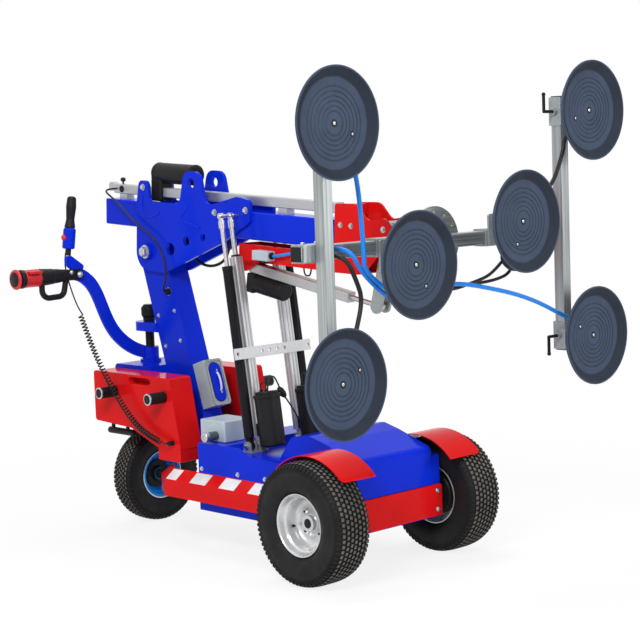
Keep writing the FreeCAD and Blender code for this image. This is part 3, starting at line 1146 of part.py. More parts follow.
def biarc(p0, t0, p1, t1):
    """Two arcs that leave p0 along t0 and reach p1 along t1."""
    v = p1 - p0
    t = t0 + t1
    k = 2 * (1 - t0.dot(t1))
    if k < 1e-6:
        d = v.dot(v) / (4 * v.dot(t0))
    else:
        d = (-v.dot(t) + math.sqrt(v.dot(t) ** 2 + k * v.dot(v))) / k
    q0 = p0 + t0 * d
    q1 = p1 - t1 * d
    pm = (q0 + q1) * 0.5
    arcs = []
    for a, q, b in ((p0, q0, pm), (pm, q1, p1)):
        w = (b - a).Length / 2 / (q - a).Length
        if w > 0.999999:
            arcs.append(Part.makeLine(a, b))
        else:
            arcs.append(Part.Arc(a, (a + q * (2 * w) + b) * (1 / (2 * (1 + w))), b).toShape())
    return arcs


def headings(points):
    """Each inner point with the way from the one before it to the one after."""
    stations = []
    for before, here, after in zip(points, points[1:], points[2:]):
        way = after - before
        way.normalize()
        stations.append((here, way))
    return stations


def curly_stations():
    """Points and headings along the cord: the lead, two for each curl, and the tail."""
    line = Part.BSplineCurve()
    line.interpolate([vec(*p) for p in CURL_LINE])
    first, last = line.FirstParameter, line.LastParameter
    curls = int(CURLS)
    steps = 2 * curls
    side = vec(1, 0, 0)
    helix = []
    pitch = line.length() / curls
    for i in range(steps + 1):
        t = line.parameterAtDistance(line.length() * i / steps, first) if 0 < i < steps else (first, last)[i > 0]
        heading = line.tangent(t)[0]
        side = side - heading * side.dot(heading)
        side.normalize()
        across = heading.cross(side)
        turn = math.pi * i
        out = side * math.cos(turn) + across * math.sin(turn)
        spin = across * math.cos(turn) - side * math.sin(turn)
        way = spin * (2 * math.pi * CURL_R) + heading * pitch
        way.normalize()
        helix.append((line.value(t) + out * CURL_R, way))
    lead = [vec(*p) for p in LEAD]
    tail = [vec(*p) for p in TAIL]
    down = vec(0, 0.25, -1)
    down.normalize()
    start = [(lead[0], down)] + headings(lead + [helix[0][0]])
    end = headings([helix[-1][0]] + tail) + [(tail[-1], vec(1, 0, 0))]
    return start + helix + end


def curly_cord():
    stations = curly_stations()
    edges = []
    for (p0, t0), (p1, t1) in zip(stations, stations[1:]):
        edges += biarc(p0, t0, p1, t1)
    wire = Part.Wire(edges)
    points = [p for e in edges for p in e.discretize(5)[:-1]]
    gap = 1e9
    for i, a in enumerate(points):
        for b in points[i + 14:]:
            gap = min(gap, (a - b).Length)
    print("curly cord, least gap to itself", round(gap - 2 * CURL_WIRE_R, 2), "length", round(wire.Length))
    start, heading = stations[0]
    ring = Part.Wire(Part.makePolygon(ring_points(start, heading)))
    return wire.makePipeShell([ring], True, False)


def ring_points(centre, heading):
    """Six-sided section of the wire."""
    side = heading.cross(vec(1, 0, 0))
    side.normalize()
    across = heading.cross(side)
    turns = [math.pi * i / 3 for i in range(6)] + [0]
    return [centre + (side * math.cos(a) + across * math.sin(a)) * CURL_WIRE_R for a in turns]


keep("curly_cord", curly_cord())

# Move everything so that the origin is under the middle of the machine, and write the pieces
CORDS = ("curly_cord", "yoke_hoses", "boom_cable")
low = [1e9] * 3
high = [-1e9] * 3
for name, shape in nodes.items():
    if name in CORDS:
        continue
    bounds = shape.optimalBoundingBox(False, False)
    for i, (lo, hi) in enumerate(((bounds.XMin, bounds.XMax), (bounds.YMin, bounds.YMax), (bounds.ZMin, bounds.ZMax))):
        low[i] = min(low[i], lo)
        high[i] = max(high[i], hi)
SHIFT = vec(-(low[0] + high[0]) / 2, -(low[1] + high[1]) / 2, -low[2])
os.makedirs("parts", exist_ok=True)
for name, shape in nodes.items():
    shape.translate(SHIFT)
    shape.exportStep("parts/" + name + ".step")
print("pieces", len(nodes), "shift", SHIFT, "size", [round(b - a, 1) for a, b in zip(low, high)])
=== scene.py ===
"""Glass panel lifter: finishes, cords, small fittings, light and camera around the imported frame."""
import math

import bmesh
import bpy
from mathutils import Matrix, Vector


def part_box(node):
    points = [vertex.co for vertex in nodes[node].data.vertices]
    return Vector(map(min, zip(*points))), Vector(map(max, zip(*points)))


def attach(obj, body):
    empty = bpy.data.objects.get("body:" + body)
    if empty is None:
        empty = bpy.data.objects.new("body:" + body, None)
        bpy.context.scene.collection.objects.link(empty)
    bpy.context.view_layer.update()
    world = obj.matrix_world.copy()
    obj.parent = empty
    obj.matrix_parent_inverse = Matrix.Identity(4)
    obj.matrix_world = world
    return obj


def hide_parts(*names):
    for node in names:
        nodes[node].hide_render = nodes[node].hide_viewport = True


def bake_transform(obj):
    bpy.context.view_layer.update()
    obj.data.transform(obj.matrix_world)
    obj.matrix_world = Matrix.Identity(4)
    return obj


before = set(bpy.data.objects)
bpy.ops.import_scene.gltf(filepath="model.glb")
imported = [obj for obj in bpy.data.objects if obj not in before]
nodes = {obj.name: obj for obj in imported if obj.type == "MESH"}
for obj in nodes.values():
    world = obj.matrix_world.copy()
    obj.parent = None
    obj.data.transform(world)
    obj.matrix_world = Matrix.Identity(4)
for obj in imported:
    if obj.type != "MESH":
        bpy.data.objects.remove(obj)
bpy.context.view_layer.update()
tyre_low, tyre_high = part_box("front_tyre_right")
AXLE_Y = (tyre_low.y + tyre_high.y) / 2
SIDES = (("right", -1), ("left", 1))
DISCS = ("upper_right", "lower_right", "upper_left", "lower_left")
TO_RIGHT = Vector((-1, 0, 0))
FORWARD = Vector((0, -1, 0))
BACKWARD = Vector((0, 1, 0))
UP = Vector((0, 0, 1))


def sideways(side):
    return Vector((side, 0, 0))


def place(x, y, z):
    """Millimetres from the ground under the front axle, as a point of the frame in metres."""
    return Vector((x / 1000, y / 1000 + AXLE_Y, z / 1000))


def placed(route, spot=place):
    """A route's points in metres, from millimetres in the frame or along a leaning piece."""
    return [spot(*p) for p in route]


# Camera, as the photograph was taken
CAMERA_AT = place(-4465, -4421, 1566)
AZIMUTH = math.radians(43.44)
DOWN = math.radians(5.71)
ROLL = math.radians(-2.02)
LENS = 95.65
SENSOR = 36


def photo_camera():
    level_share = math.cos(DOWN)
    ahead = Vector((math.sin(AZIMUTH) * level_share, math.cos(AZIMUTH) * level_share, -math.sin(DOWN)))
    level = Vector((math.cos(AZIMUTH), -math.sin(AZIMUTH), 0))
    right = level * math.cos(ROLL) + level.cross(ahead) * math.sin(ROLL)
    up = right.cross(ahead)
    data = bpy.data.cameras.new("photo_camera")
    data.lens = LENS
    data.sensor_width = SENSOR
    data.clip_end = 100
    camera = bpy.data.objects.new("photo_camera", data)
    bpy.context.collection.objects.link(camera)
    turn = Matrix((right, up, -ahead)).transposed()
    camera.matrix_world = Matrix.Translation(CAMERA_AT) @ turn.to_4x4()
    bpy.context.scene.camera = camera


photo_camera()


# Materials
class Finish:
    """A material in the making: Object coordinates, noises and a shader."""

    def __init__(self, name, roughness, metallic=0.0, specular=0.5):
        self.material = bpy.data.materials.new(name)
        self.material.use_nodes = True
        self.tree = self.material.node_tree
        self.shader = self.tree.nodes["Principled BSDF"]
        self.shader.inputs["Roughness"].default_value = roughness
        self.shader.inputs["Metallic"].default_value = metallic
        self.shader.inputs["Specular IOR Level"].default_value = specular
        self.coords = self.node("ShaderNodeTexCoord").outputs["Object"]

    def node(self, kind, **settings):
        made = self.tree.nodes.new(kind)
        for key, value in settings.items():
            setattr(made, key, value)
        return made

    def join(self, source, target):
        self.tree.links.new(source, target)

    def stretched(self, scale):
        """Object coordinates scaled along each axis, for brushed or drawn metal."""
        mapping = self.node("ShaderNodeMapping")
        mapping.inputs["Scale"].default_value = scale
        self.join(self.coords, mapping.inputs["Vector"])
        return mapping.outputs["Vector"]

    def noise(self, scale, detail=3.0, coords=None):
        noise = self.node("ShaderNodeTexNoise")
        noise.inputs["Scale"].default_value = scale
        noise.inputs["Detail"].default_value = detail
        self.join(coords or self.coords, noise.inputs["Vector"])
        return noise.outputs["Fac"]

    def cells(self, scale):
        cells = self.node("ShaderNodeTexVoronoi")
        cells.inputs["Scale"].default_value = scale
        self.join(self.coords, cells.inputs["Vector"])
        split = self.node("ShaderNodeSeparateColor")
        self.join(cells.outputs["Color"], split.inputs["Color"])
        return split.outputs["Red"]

    def spread(self, fac, low, high, start=0.3, stop=0.7):
        ramp = self.node("ShaderNodeMapRange")
        for key, value in (("From Min", start), ("From Max", stop), ("To Min", low), ("To Max", high)):
            ramp.inputs[key].default_value = value
        self.join(fac, ramp.inputs["Value"])
        return ramp.outputs["Result"]

    def colours(self, fac, dark, light, start=0.3, stop=0.7):
        ramp = self.node("ShaderNodeValToRGB")
        ramp.color_ramp.elements[0].position = start
        ramp.color_ramp.elements[1].position = stop
        ramp.color_ramp.elements[0].color = (*dark, 1)
        ramp.color_ramp.elements[1].color = (*light, 1)
        self.join(fac, ramp.inputs["Fac"])
        self.join(ramp.outputs["Color"], self.shader.inputs["Base Color"])

    def rough(self, fac, low, high):
        self.join(self.spread(fac, low, high), self.shader.inputs["Roughness"])

    def bump(self, fac, depth, strength=1.0):
        bump = self.node("ShaderNodeBump")
        bump.inputs["Distance"].default_value = depth
        bump.inputs["Strength"].default_value = strength
        self.join(fac, bump.inputs["Height"])
        self.join(bump.outputs["Normal"], self.shader.inputs["Normal"])


def toned(colour, share):
    return tuple(min(1.0, c * share) for c in colour)


def gloss_paint(name, colour):
    """Powder coat: clear gloss, faint orange peel, handling smears in the gloss."""
    f = Finish(name, 0.16, specular=0.06)
    f.colours(f.noise(3.5), toned(colour, 0.92), toned(colour, 1.06))
    f.rough(f.noise(14, 6), 0.11, 0.21)
    f.bump(f.noise(420, 2), 0.0003, 0.2)
    return f.material


def zinc(name):
    """Hot-dip galvanised steel with its spangle."""
    f = Finish(name, 0.46, metallic=0.45)
    f.colours(f.cells(260), (0.29, 0.32, 0.325), (0.39, 0.42, 0.425), 0.05, 0.95)
    f.rough(f.noise(60, 4), 0.4, 0.56)
    f.bump(f.noise(260, 3), 0.0005, 0.25)
    return f.material


LINE_STRETCH = 75
ALONG_X = (1, 0, 0)
ALONG_Y = (0, 1, 0)
ALONG_Z = (0, 0, 1)
EVERY_WAY = (1, 1, 1)


def drawn_metal(name, colour, roughness, along, metallic=0.95, fine=900, dark=0.84):
    """Ground, drawn or extruded metal with fine lines along one axis, or soft clouds along all three."""
    f = Finish(name, roughness, metallic)
    lines = f.noise(1.0, 3, f.stretched(tuple(fine / LINE_STRETCH if a else fine for a in along)))
    f.colours(lines, toned(colour, dark), toned(colour, 1.06))
    f.rough(lines, roughness - 0.08, roughness + 0.1)
    f.bump(lines, 0.0002, 0.15)
    return f.material


def moulded(name, colour, roughness, grain=0.0006, specular=0.5):
    """Moulded plastic with a fine spark-eroded grain."""
    f = Finish(name, roughness, specular=specular)
    f.colours(f.noise(6), toned(colour, 0.8), toned(colour, 1.2))
    f.rough(f.noise(35, 4), roughness - 0.06, roughness + 0.1)
    f.bump(f.noise(900, 2), grain, 0.3)
    return f.material


def rubber(name, colour, roughness, dust):
    """Rubber with a dusty bloom in places."""
    f = Finish(name, roughness, specular=0.16)
    f.colours(f.noise(9, 5), colour, toned(colour, dust))
    f.rough(f.noise(40, 4), roughness - 0.1, roughness + 0.1)
    f.bump(f.noise(240, 2), 0.0002, 0.12)
    return f.material


BLUE = (0.004, 0.026, 0.62)
RED = (0.68, 0.008, 0.009)
TUBE_ZINC = (0.44, 0.47, 0.475)
blue_paint = gloss_paint("blue_paint", BLUE)
red_paint = gloss_paint("red_paint", RED)
rim_blue = gloss_paint("rim_blue", (0.012, 0.27, 0.76))
black_paint = gloss_paint("black_paint", (0.014, 0.014, 0.016))
spangle = zinc("spangle")
bar_zinc = drawn_metal("bar_zinc", TUBE_ZINC, 0.36, ALONG_Z, 0.7, 150, 0.55)
beam_zinc = drawn_metal("beam_zinc", TUBE_ZINC, 0.36, ALONG_X, 0.7, 150, 0.55)
ground_steel = drawn_metal("ground_steel", (0.62, 0.62, 0.63), 0.26, ALONG_Z)
boom_steel = drawn_metal("boom_steel", (0.56, 0.57, 0.58), 0.34, ALONG_Y)
upright_extrusion = drawn_metal("upright_extrusion", (0.60, 0.61, 0.625), 0.36, ALONG_Z, 0.7)
boom_extrusion = drawn_metal("boom_extrusion", (0.50, 0.51, 0.52), 0.36, ALONG_Y, 0.7)
bright_zinc = drawn_metal("bright_zinc", (0.55, 0.56, 0.57), 0.28, EVERY_WAY)
slot_shade = drawn_metal("slot_shade", (0.36, 0.365, 0.37), 0.45, ALONG_Z, 0.6)
slate = moulded("slate", (0.055, 0.075, 0.105), 0.42)
rim_silver = drawn_metal("rim_silver", (0.68, 0.69, 0.70), 0.30, EVERY_WAY, 0.55)
black_mould = moulded("black_mould", (0.011, 0.011, 0.012), 0.4, specular=0.14)
grey_casing = moulded("grey_casing", (0.46, 0.54, 0.60), 0.38)
red_mould = moulded("red_mould", (0.60, 0.012, 0.014), 0.34, 0.0002)
white_film = moulded("white_film", (0.80, 0.80, 0.80), 0.5, 0.0002)
tyre_rubber = rubber("tyre_rubber", (0.009, 0.009, 0.009), 0.6, 2.0)
tread_dust = rubber("tread_dust", (0.085, 0.076, 0.068), 0.85, 1.9)
disc_rubber = rubber("disc_rubber", (0.040, 0.058, 0.096), 0.6, 1.25)
# Darker than the disc rubber: painted shade for the grooves of the discs and the step round their flat face
disc_groove = rubber("disc_groove", (0.021, 0.030, 0.050), 0.5, 1.25)
# Dark rubber for the lip of a disc: painted shade of its slope
disc_lip = rubber("disc_lip", (0.017, 0.023, 0.036), 0.55, 1.3)
hose_blue = rubber("hose_blue", (0.016, 0.20, 0.68), 0.34, 1.15)
hose_black = rubber("hose_black", (0.014, 0.014, 0.015), 0.4, 1.5)

COATS = {
    blue_paint: ("chassis_tub", "front_hood", "rear_frame", "mast", "tiller_arm", "boom_tube",
                 "boom_casting"),
    red_paint: ("front_guards", "side_rails", "counterweights", "head_frame"),
    rim_blue: ("rear_rim",),
    black_paint: ("steering_fork", "strut_barrels"),
    bar_zinc: ("yoke_bars",),
    beam_zinc: ("yoke_beam",),
    spangle: ("tilt_bracket", "middle_carriages", "ram_base", "cabinet_panel",
              *("carriage_" + k for k in DISCS)),
    ground_steel: ("lift_rods", "drive_axle"),
    boom_steel: ("inner_tube", "tilt_rod"),
    upright_extrusion: ("lift_actuators",),
    boom_extrusion: ("telescope_actuator", "tilt_actuator"),
    rim_silver: ("front_rim_right", "front_rim_left"),
    black_mould: ("weight_pegs", "wand_grip", "tiller_handle", "telescope_motor", "lift_motors",
                  "tilt_motor", "index_plunger", *("clamp_handle_" + k for k in DISCS)),
    grey_casing: ("control_boxes", "vacuum_block"),
    red_mould: ("throttle", "belly_button", "wand_button"),
    tyre_rubber: ("front_tyre_right", "front_tyre_left", "rear_tyre"),
    disc_rubber: ("middle_discs", *("suction_disc_" + k for k in DISCS)),
}
for material, names in COATS.items():
    for name in names:
        nodes[name].data.materials.clear()
        nodes[name].data.materials.append(material)


def piece(name, mesh, material=None):
    made = bpy.data.objects.new(name, mesh)
    bpy.context.collection.objects.link(made)
    if material:
        mesh.materials.clear()
        mesh.materials.append(material)
    return made


def finished(name, mesh):
    """The named mesh of a bmesh, which is then freed."""
    data = bpy.data.meshes.new(name)
    mesh.to_mesh(data)
    mesh.free()
    return data


def bridge(mesh, a, b, smooth=False):
    """Faces between two closed loops of the same count."""
    count = len(a)
    for k in range(count):
        n = (k + 1) % count
        mesh.faces.new((a[k], a[n], b[n], b[k])).smooth = smooth


# Cords: each route is one smooth spline, and the tube follows the points read from it
def spline_points(name, route, resolution=10):
    data = bpy.data.curves.new(name + "_route", "CURVE")
    data.dimensions = "3D"
    data.resolution_u = resolution
    spline = data.splines.new("NURBS")
    spline.points.add(len(route) - 1)
    for point, at in zip(spline.points, route):
        point.co = (*at, 1)
    spline.order_u = 3
    spline.use_endpoint_u = True
    holder = bpy.data.objects.new(name + "_route", data)
    mesh = bpy.data.meshes.new_from_object(holder)
    points = [v.co.copy() for v in mesh.vertices]
    bpy.data.meshes.remove(mesh)
    bpy.data.objects.remove(holder)
    bpy.data.curves.remove(data)
    return points


def tube_mesh(name, line, radius, sides):
    """Closed round tube along points, its section carried along without twist."""
    mesh = bmesh.new()
    rings = []
    heading = (line[1] - line[0]).normalized()
    side = heading.orthogonal().normalized()
    for i, at in enumerate(line):
        ahead = (line[min(i + 1, len(line) - 1)] - line[max(i - 1, 0)]).normalized()
        side = (side - ahead * side.dot(ahead)).normalized()
        across = ahead.cross(side)
        ring = []
        for k in range(sides):
            turn = 2 * math.pi * k / sides
            ring.append(mesh.verts.new(at + (side * math.cos(turn) + across * math.sin(turn)) * radius))
        rings.append(ring)
    for a, b in zip(rings, rings[1:]):
        bridge(mesh, a, b, smooth=True)
    mesh.faces.new(reversed(rings[0]))
    mesh.faces.new(rings[-1])
    return finished(name, mesh)


def line_length(line):
    return sum((b - a).length for a, b in zip(line, line[1:]))


def cord(name, line, diameter, material, sides=12):
    made = piece(name, tube_mesh(name, line, diameter / 2, sides), material)
    return made


# Vacuum hoses, from the backs of the discs and of the beam, past the front of the bars
DISC_SEAT = -486.7
BEAM_SEAT = -367.3
FRONT = -455
BACK = -438
HOSE_D = 0.016
HOSES = {
    "hose_upper_right": ((-560, DISC_SEAT, 1560), (-560, FRONT, 1560), (-518, FRONT, 1475),
                         (-498, FRONT, 1214), (-500, FRONT, 1165), (-405, FRONT, 1095),
                         (-405, DISC_SEAT, 1095)),
    "hose_beam": ((-545, BEAM_SEAT, 1238), (-545, BACK, 1238), (-500, BACK, 1160), (-375, BACK, 1060),
                  (-375, DISC_SEAT, 1060)),
    "hose_lower_left": ((-195, DISC_SEAT, 1090), (-195, FRONT, 1090), (-54, FRONT, 1086), (56, FRONT, 1071),
                        (341, FRONT, 1007), (585, FRONT, 900), (585, DISC_SEAT, 900)),
    "hose_upper_left": ((575, DISC_SEAT, 1590), (575, FRONT, 1590), (560, FRONT, 1520), (488, FRONT, 1395),
                        (370, FRONT, 1360), (370, DISC_SEAT, 1360)),
    "hose_lower_right": ((-575, DISC_SEAT, 890), (-575, FRONT, 890), (-552, FRONT, 954), (-495, BACK, 1065),
                         (-520, BACK, 1130), (-570, BACK, 1218), (-570, BEAM_SEAT, 1218)),
    "hose_middle_left": ((200, DISC_SEAT, 1175), (200, FRONT, 1175), (205, FRONT, 1140), (260, FRONT, 1108),
                         (330, FRONT, 1122), (345, FRONT, 1180), (345, DISC_SEAT, 1180)),
}
BLUE_HOSES = ("hose_upper_right", "hose_beam", "hose_lower_left")
for name, route in HOSES.items():
    line = spline_points(name, placed(route))
    coat = hose_blue if name in BLUE_HOSES else hose_black
    made = cord(name, line, HOSE_D, coat)
    key = name.removeprefix("hose_")
    if key in DISCS:
        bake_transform(made)
    else:
        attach(made, "yoke")
    if name == "hose_beam":
        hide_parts("yoke_hoses")

LINK_D = 0.012
LINKS = {
    "hose_link_upper": ((262, DISC_SEAT, 1168), (262, -430, 1166), (187, -436, 1119), (137, -436, 1094),
                        (55, -436, 1079), (-9, -436, 1068), (-66, -436, 1064), (-160, -430, 1072),
                        (-165, DISC_SEAT, 1080)),
    "hose_link_lower": ((330, DISC_SEAT, 1150), (330, -411, 1146), (280, -417, 1094), (219, -417, 1080),
                        (150, -417, 1074), (82, -417, 1073), (-8, -417, 1070), (-80, -417, 1076),
                        (-180, -411, 1110), (-186, DISC_SEAT, 1120)),
}
for name, route in LINKS.items():
    line = spline_points(name, placed(route))
    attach(cord(name, line, LINK_D, hose_black), "yoke")

# Cable of the boom's motor, down the side of the mast
CABLE_D = 0.008
CABLE_X = -94
CABLE = ((-20.3, 1523, 1431), (-50, 1523, 1431), (CABLE_X, 1512, 1423), (CABLE_X, 1437, 1385),
         (CABLE_X, 1305, 1288), (CABLE_X, 1180, 1230), (CABLE_X, 1120, 1150), (CABLE_X, 1108, 1060),
         (CABLE_X, 1150, 1000), (-50.3, 1150, 1000))
line = spline_points("boom_cable", placed(CABLE))
boom_cable = cord("motor_cable", line, CABLE_D, hose_black, 10)
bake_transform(boom_cable)
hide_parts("boom_cable")

# Curly cord, from the wand to its gland on the chassis
CURLY_D = 0.006
CURL_R = 0.010
CURLS = 48
CURL_LINE = ((-343, 1380, 918), (-312, 1362, 800), (-294, 1320, 700), (-289, 1245, 605), (-285, 1170, 520),
             (-283, 1090, 460), (-281, 1020, 432), (-280, 965, 418))
LEAD = ((-405, 1375.3, 1182), (-405, 1390, 1140), (-386, 1392, 1060), (-356, 1388, 965))
TAIL = ((-290, 935, 412), (-274.3, 915, 412))
TURN_POINTS = 12


def curls(line):
    """Points of a helix wound round a line."""
    total = line_length(line)
    steps = CURLS * TURN_POINTS
    side = Vector((1, 0, 0))
    points = []
    run = 0.0
    i = 0
    for k in range(steps + 1):
        target = total * k / steps
        while i < len(line) - 2 and run + (line[i + 1] - line[i]).length < target:
            run += (line[i + 1] - line[i]).length
            i += 1
        heading = (line[i + 1] - line[i]).normalized()
        at = line[i] + heading * (target - run)
        side = (side - heading * side.dot(heading)).normalized()
        turn = 2 * math.pi * k / TURN_POINTS
        points.append(at + (side * math.cos(turn) + heading.cross(side) * math.sin(turn)) * CURL_R)
    return points


middle = spline_points("curl_line", placed(CURL_LINE), 40)
route = placed(LEAD) + curls(middle) + placed(TAIL)
line = spline_points("curly_cord", route, 3)
curly = cord("wand_cord", line, CURLY_D, hose_black, 8)
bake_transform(curly)
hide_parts("curly_cord")


# Repeating pieces: trees with named inputs, evaluated once and kept as plain meshes
class Tree:
    """A Geometry Nodes tree in the making."""

    def __init__(self, name, inputs):
        self.tree = bpy.data.node_groups.new(name, "GeometryNodeTree")
        self.keys = {}
        for key, kind in inputs.items():
            self.keys[key] = self.tree.interface.new_socket(key, in_out="INPUT", socket_type=kind).identifier
        self.tree.interface.new_socket("Geometry", in_out="OUTPUT", socket_type="NodeSocketGeometry")
        self.inputs = self.tree.nodes.new("NodeGroupInput").outputs

    def node(self, kind, links=(), **settings):
        made = self.tree.nodes.new(kind)
        for key, value in settings.items():
            setattr(made, key, value)
        for target, source in dict(links).items():
            if isinstance(source, bpy.types.NodeSocket):
                self.tree.links.new(source, made.inputs[target])
            else:
                made.inputs[target].default_value = source
        return made.outputs

    def math(self, operation, a, b=0.0):
        return self.node("ShaderNodeMath", {0: a, 1: b}, operation=operation)[0]

    def close(self, instances):
        """Realise the instances and give them the material."""
        plain = self.node("GeometryNodeRealizeInstances", {0: instances})[0]
        coated = self.node("GeometryNodeSetMaterial", {0: plain, "Material": self.inputs["Material"]})[0]
        end = self.tree.nodes.new("NodeGroupOutput")
        self.tree.links.new(coated, end.inputs[0])

    def grown(self, name, mesh, values):
        """The plain mesh that the tree makes from a start mesh and its inputs' values."""
        holder = bpy.data.objects.new(name + "_seed", mesh)
        bpy.context.collection.objects.link(holder)
        modifier = holder.modifiers.new("tree", "NODES")
        modifier.node_group = self.tree
        for key, value in values.items():
            modifier[self.keys[key]] = value
        depsgraph = bpy.context.evaluated_depsgraph_get()
        made = bpy.data.meshes.new_from_object(holder.evaluated_get(depsgraph))
        made.name = name
        bpy.data.objects.remove(holder)
        return made


def block_ring_tree():
    """Tapered blocks in a ring round Z, skewed and leaning to the side."""
    t = Tree("block_ring", {
        "Count": "NodeSocketInt", "Radius": "NodeSocketFloat", "Along": "NodeSocketFloat",
        "Phase": "NodeSocketFloat", "Skew": "NodeSocketFloat", "Lean": "NodeSocketFloat",
        "Block": "NodeSocketVector", "Taper": "NodeSocketFloat", "Material": "NodeSocketMaterial"})
    index = t.node("GeometryNodeInputIndex")[0]
    step = t.math("DIVIDE", 2 * math.pi, t.inputs["Count"])
    turn = t.math("ADD", t.math("MULTIPLY", index, step), t.math("MULTIPLY", t.inputs["Phase"], step))
    out_x = t.math("MULTIPLY", t.math("COSINE", turn), t.inputs["Radius"])
    out_y = t.math("MULTIPLY", t.math("SINE", turn), t.inputs["Radius"])
    at = t.node("ShaderNodeCombineXYZ", {0: out_x, 1: out_y, 2: t.inputs["Along"]})[0]
    points = t.node("GeometryNodePoints", {"Count": t.inputs["Count"], "Position": at})[0]
    cube = t.node("GeometryNodeMeshCube", {"Size": t.inputs["Block"]})["Mesh"]
    where = t.node("GeometryNodeInputPosition")[0]
    parts = t.node("ShaderNodeSeparateXYZ", {0: where})
    outside = t.math("GREATER_THAN", parts[0], 0.0)
    share = t.math("SUBTRACT", 1.0, t.math("MULTIPLY", outside, t.inputs["Taper"]))
    along = t.math("MULTIPLY", parts[1], share)
    across = t.math("MULTIPLY", parts[2], share)
    drawn_in = t.node("ShaderNodeCombineXYZ", {0: parts[0], 1: along, 2: across})[0]
    block = t.node("GeometryNodeSetPosition", {"Geometry": cube, "Position": drawn_in})[0]
    turned_to = t.node("ShaderNodeCombineXYZ", {0: t.inputs["Skew"], 1: t.inputs["Lean"], 2: turn})[0]
    ring = {"Points": points, "Instance": block, "Rotation": turned_to}
    t.close(t.node("GeometryNodeInstanceOnPoints", ring)[0])
    return t


WASHER_SHARE = 1.35
CROWN_SHARE = 0.72


def fastener_tree():
    """A washer and a hexagon head on each point of the start mesh, along its facing."""
    t = Tree("fasteners", {"Points": "NodeSocketGeometry", "Head": "NodeSocketFloat",
                           "Height": "NodeSocketFloat", "Material": "NodeSocketMaterial"})
    wide = t.inputs["Head"]
    tall = t.inputs["Height"]
    thin = t.math("MULTIPLY", tall, 0.25)
    disc = {"Vertices": 20, "Radius": t.math("MULTIPLY", wide, WASHER_SHARE), "Depth": thin}
    washer = t.node("GeometryNodeMeshCylinder", disc)["Mesh"]
    head = t.node("GeometryNodeMeshCylinder", {"Vertices": 6, "Radius": wide, "Depth": tall})["Mesh"]
    drawn_in = t.math("MULTIPLY", wide, CROWN_SHARE)
    taper = {"Vertices": 6, "Radius Top": drawn_in, "Radius Bottom": wide, "Depth": thin}
    crown = t.node("GeometryNodeMeshCone", taper)["Mesh"]
    up = t.node("ShaderNodeCombineXYZ", {2: t.math("MULTIPLY", tall, 0.5)})[0]
    top = t.node("ShaderNodeCombineXYZ", {2: tall})[0]
    raised = t.node("GeometryNodeTransform", {"Geometry": head, "Translation": up})[0]
    crowned = t.node("GeometryNodeTransform", {"Geometry": crown, "Translation": top})[0]
    whole = t.tree.nodes.new("GeometryNodeJoinGeometry")
    for part in (washer, raised, crowned):
        t.tree.links.new(part, whole.inputs[0])
    facing = t.node("GeometryNodeInputNamedAttribute", {"Name": "facing"}, data_type="FLOAT_VECTOR")[0]
    turn = t.node("FunctionNodeAlignRotationToVector", {"Vector": facing}, axis="Z")[0]
    points = t.node("GeometryNodeMeshToPoints", {"Mesh": t.inputs["Points"]})[0]
    set_on = {"Points": points, "Instance": whole.outputs[0], "Rotation": turn}
    t.close(t.node("GeometryNodeInstanceOnPoints", set_on)[0])
    return t


BLOCK_RING = block_ring_tree()
FASTENERS = fastener_tree()


# Radius and height of the heads, in metres
LUG_NUT = (0.0105, 0.012)
LUG_STUD = (0.0058, 0.0145)
TUB_HEAD = (0.007, 0.006)
PIVOT_NUT = (0.021, 0.017)
CHEEK_HEAD = (0.010, 0.008)
FOOT_NUT = (0.0095, 0.007)
MAST_HEAD = (0.0065, 0.005)
PULL_HEAD = (0.0045, 0.003)
CLAMP_HEAD = (0.0075, 0.006)
FRAME_HEAD = (0.008, 0.006)
KNUCKLE_HEAD = (0.007, 0.005)
KNUCKLE_NUT = (0.010, 0.007)


def fasteners(name, body, heads, size, material):
    """Hexagon heads of one size at (point, facing) pairs, in metres, riding on a body."""
    radius, height = size
    seed = bpy.data.meshes.new(name + "_points")
    seed.from_pydata([tuple(at) for at, facing in heads], [], [])
    attribute = seed.attributes.new("facing", "FLOAT_VECTOR", "POINT")
    attribute.data.foreach_set("vector", [c for at, facing in heads for c in facing])
    made = FASTENERS.grown(name, seed, {"Head": radius, "Height": height, "Material": material})
    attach(piece(name, made), body)


def joined(name, meshes):
    whole = bmesh.new()
    for mesh in meshes:
        whole.from_mesh(mesh)
    return finished(name, whole)


def axis_place(at, axis):
    """Matrix that takes Z to an axis and the origin to a point."""
    return Matrix.Translation(at) @ Vector(axis).to_track_quat("Z", "Y").to_matrix().to_4x4()


SHARP = math.radians(40)


def turned_mesh(name, profile, segments=64):
    """Turned round Z from (along, radius) points in millimetres.

    A profile from pole to pole gives a solid, and any other a closed ring.
    """
    mesh = bmesh.new()
    rings = []
    for along, radius in profile:
        if radius == 0:
            rings.append([mesh.verts.new((0, 0, along / 1000))] * segments)
            continue
        ring = []
        for k in range(segments):
            turn = 2 * math.pi * k / segments
            at = (radius / 1000 * math.cos(turn), radius / 1000 * math.sin(turn), along / 1000)
            ring.append(mesh.verts.new(at))
        rings.append(ring)
    pairs = list(zip(rings, rings[1:]))
    if profile[0][1] > 0:
        pairs.append((rings[-1], rings[0]))
    for a, b in pairs:
        for k in range(segments):
            corners = []
            for vert in (a[k], a[(k + 1) % segments], b[(k + 1) % segments], b[k]):
                if vert not in corners:
                    corners.append(vert)
            if len(corners) > 2:
                mesh.faces.new(corners).smooth = True
    bmesh.ops.recalc_face_normals(mesh, faces=mesh.faces)
    data = finished(name, mesh)
    data.set_sharp_from_angle(angle=SHARP)
    return data


def turned_piece(name, body, profile, at, axis, material, segments=64):
    data = turned_mesh(name, profile, segments)
    data.transform(axis_place(at, axis))
    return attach(piece(name, data, material), body)


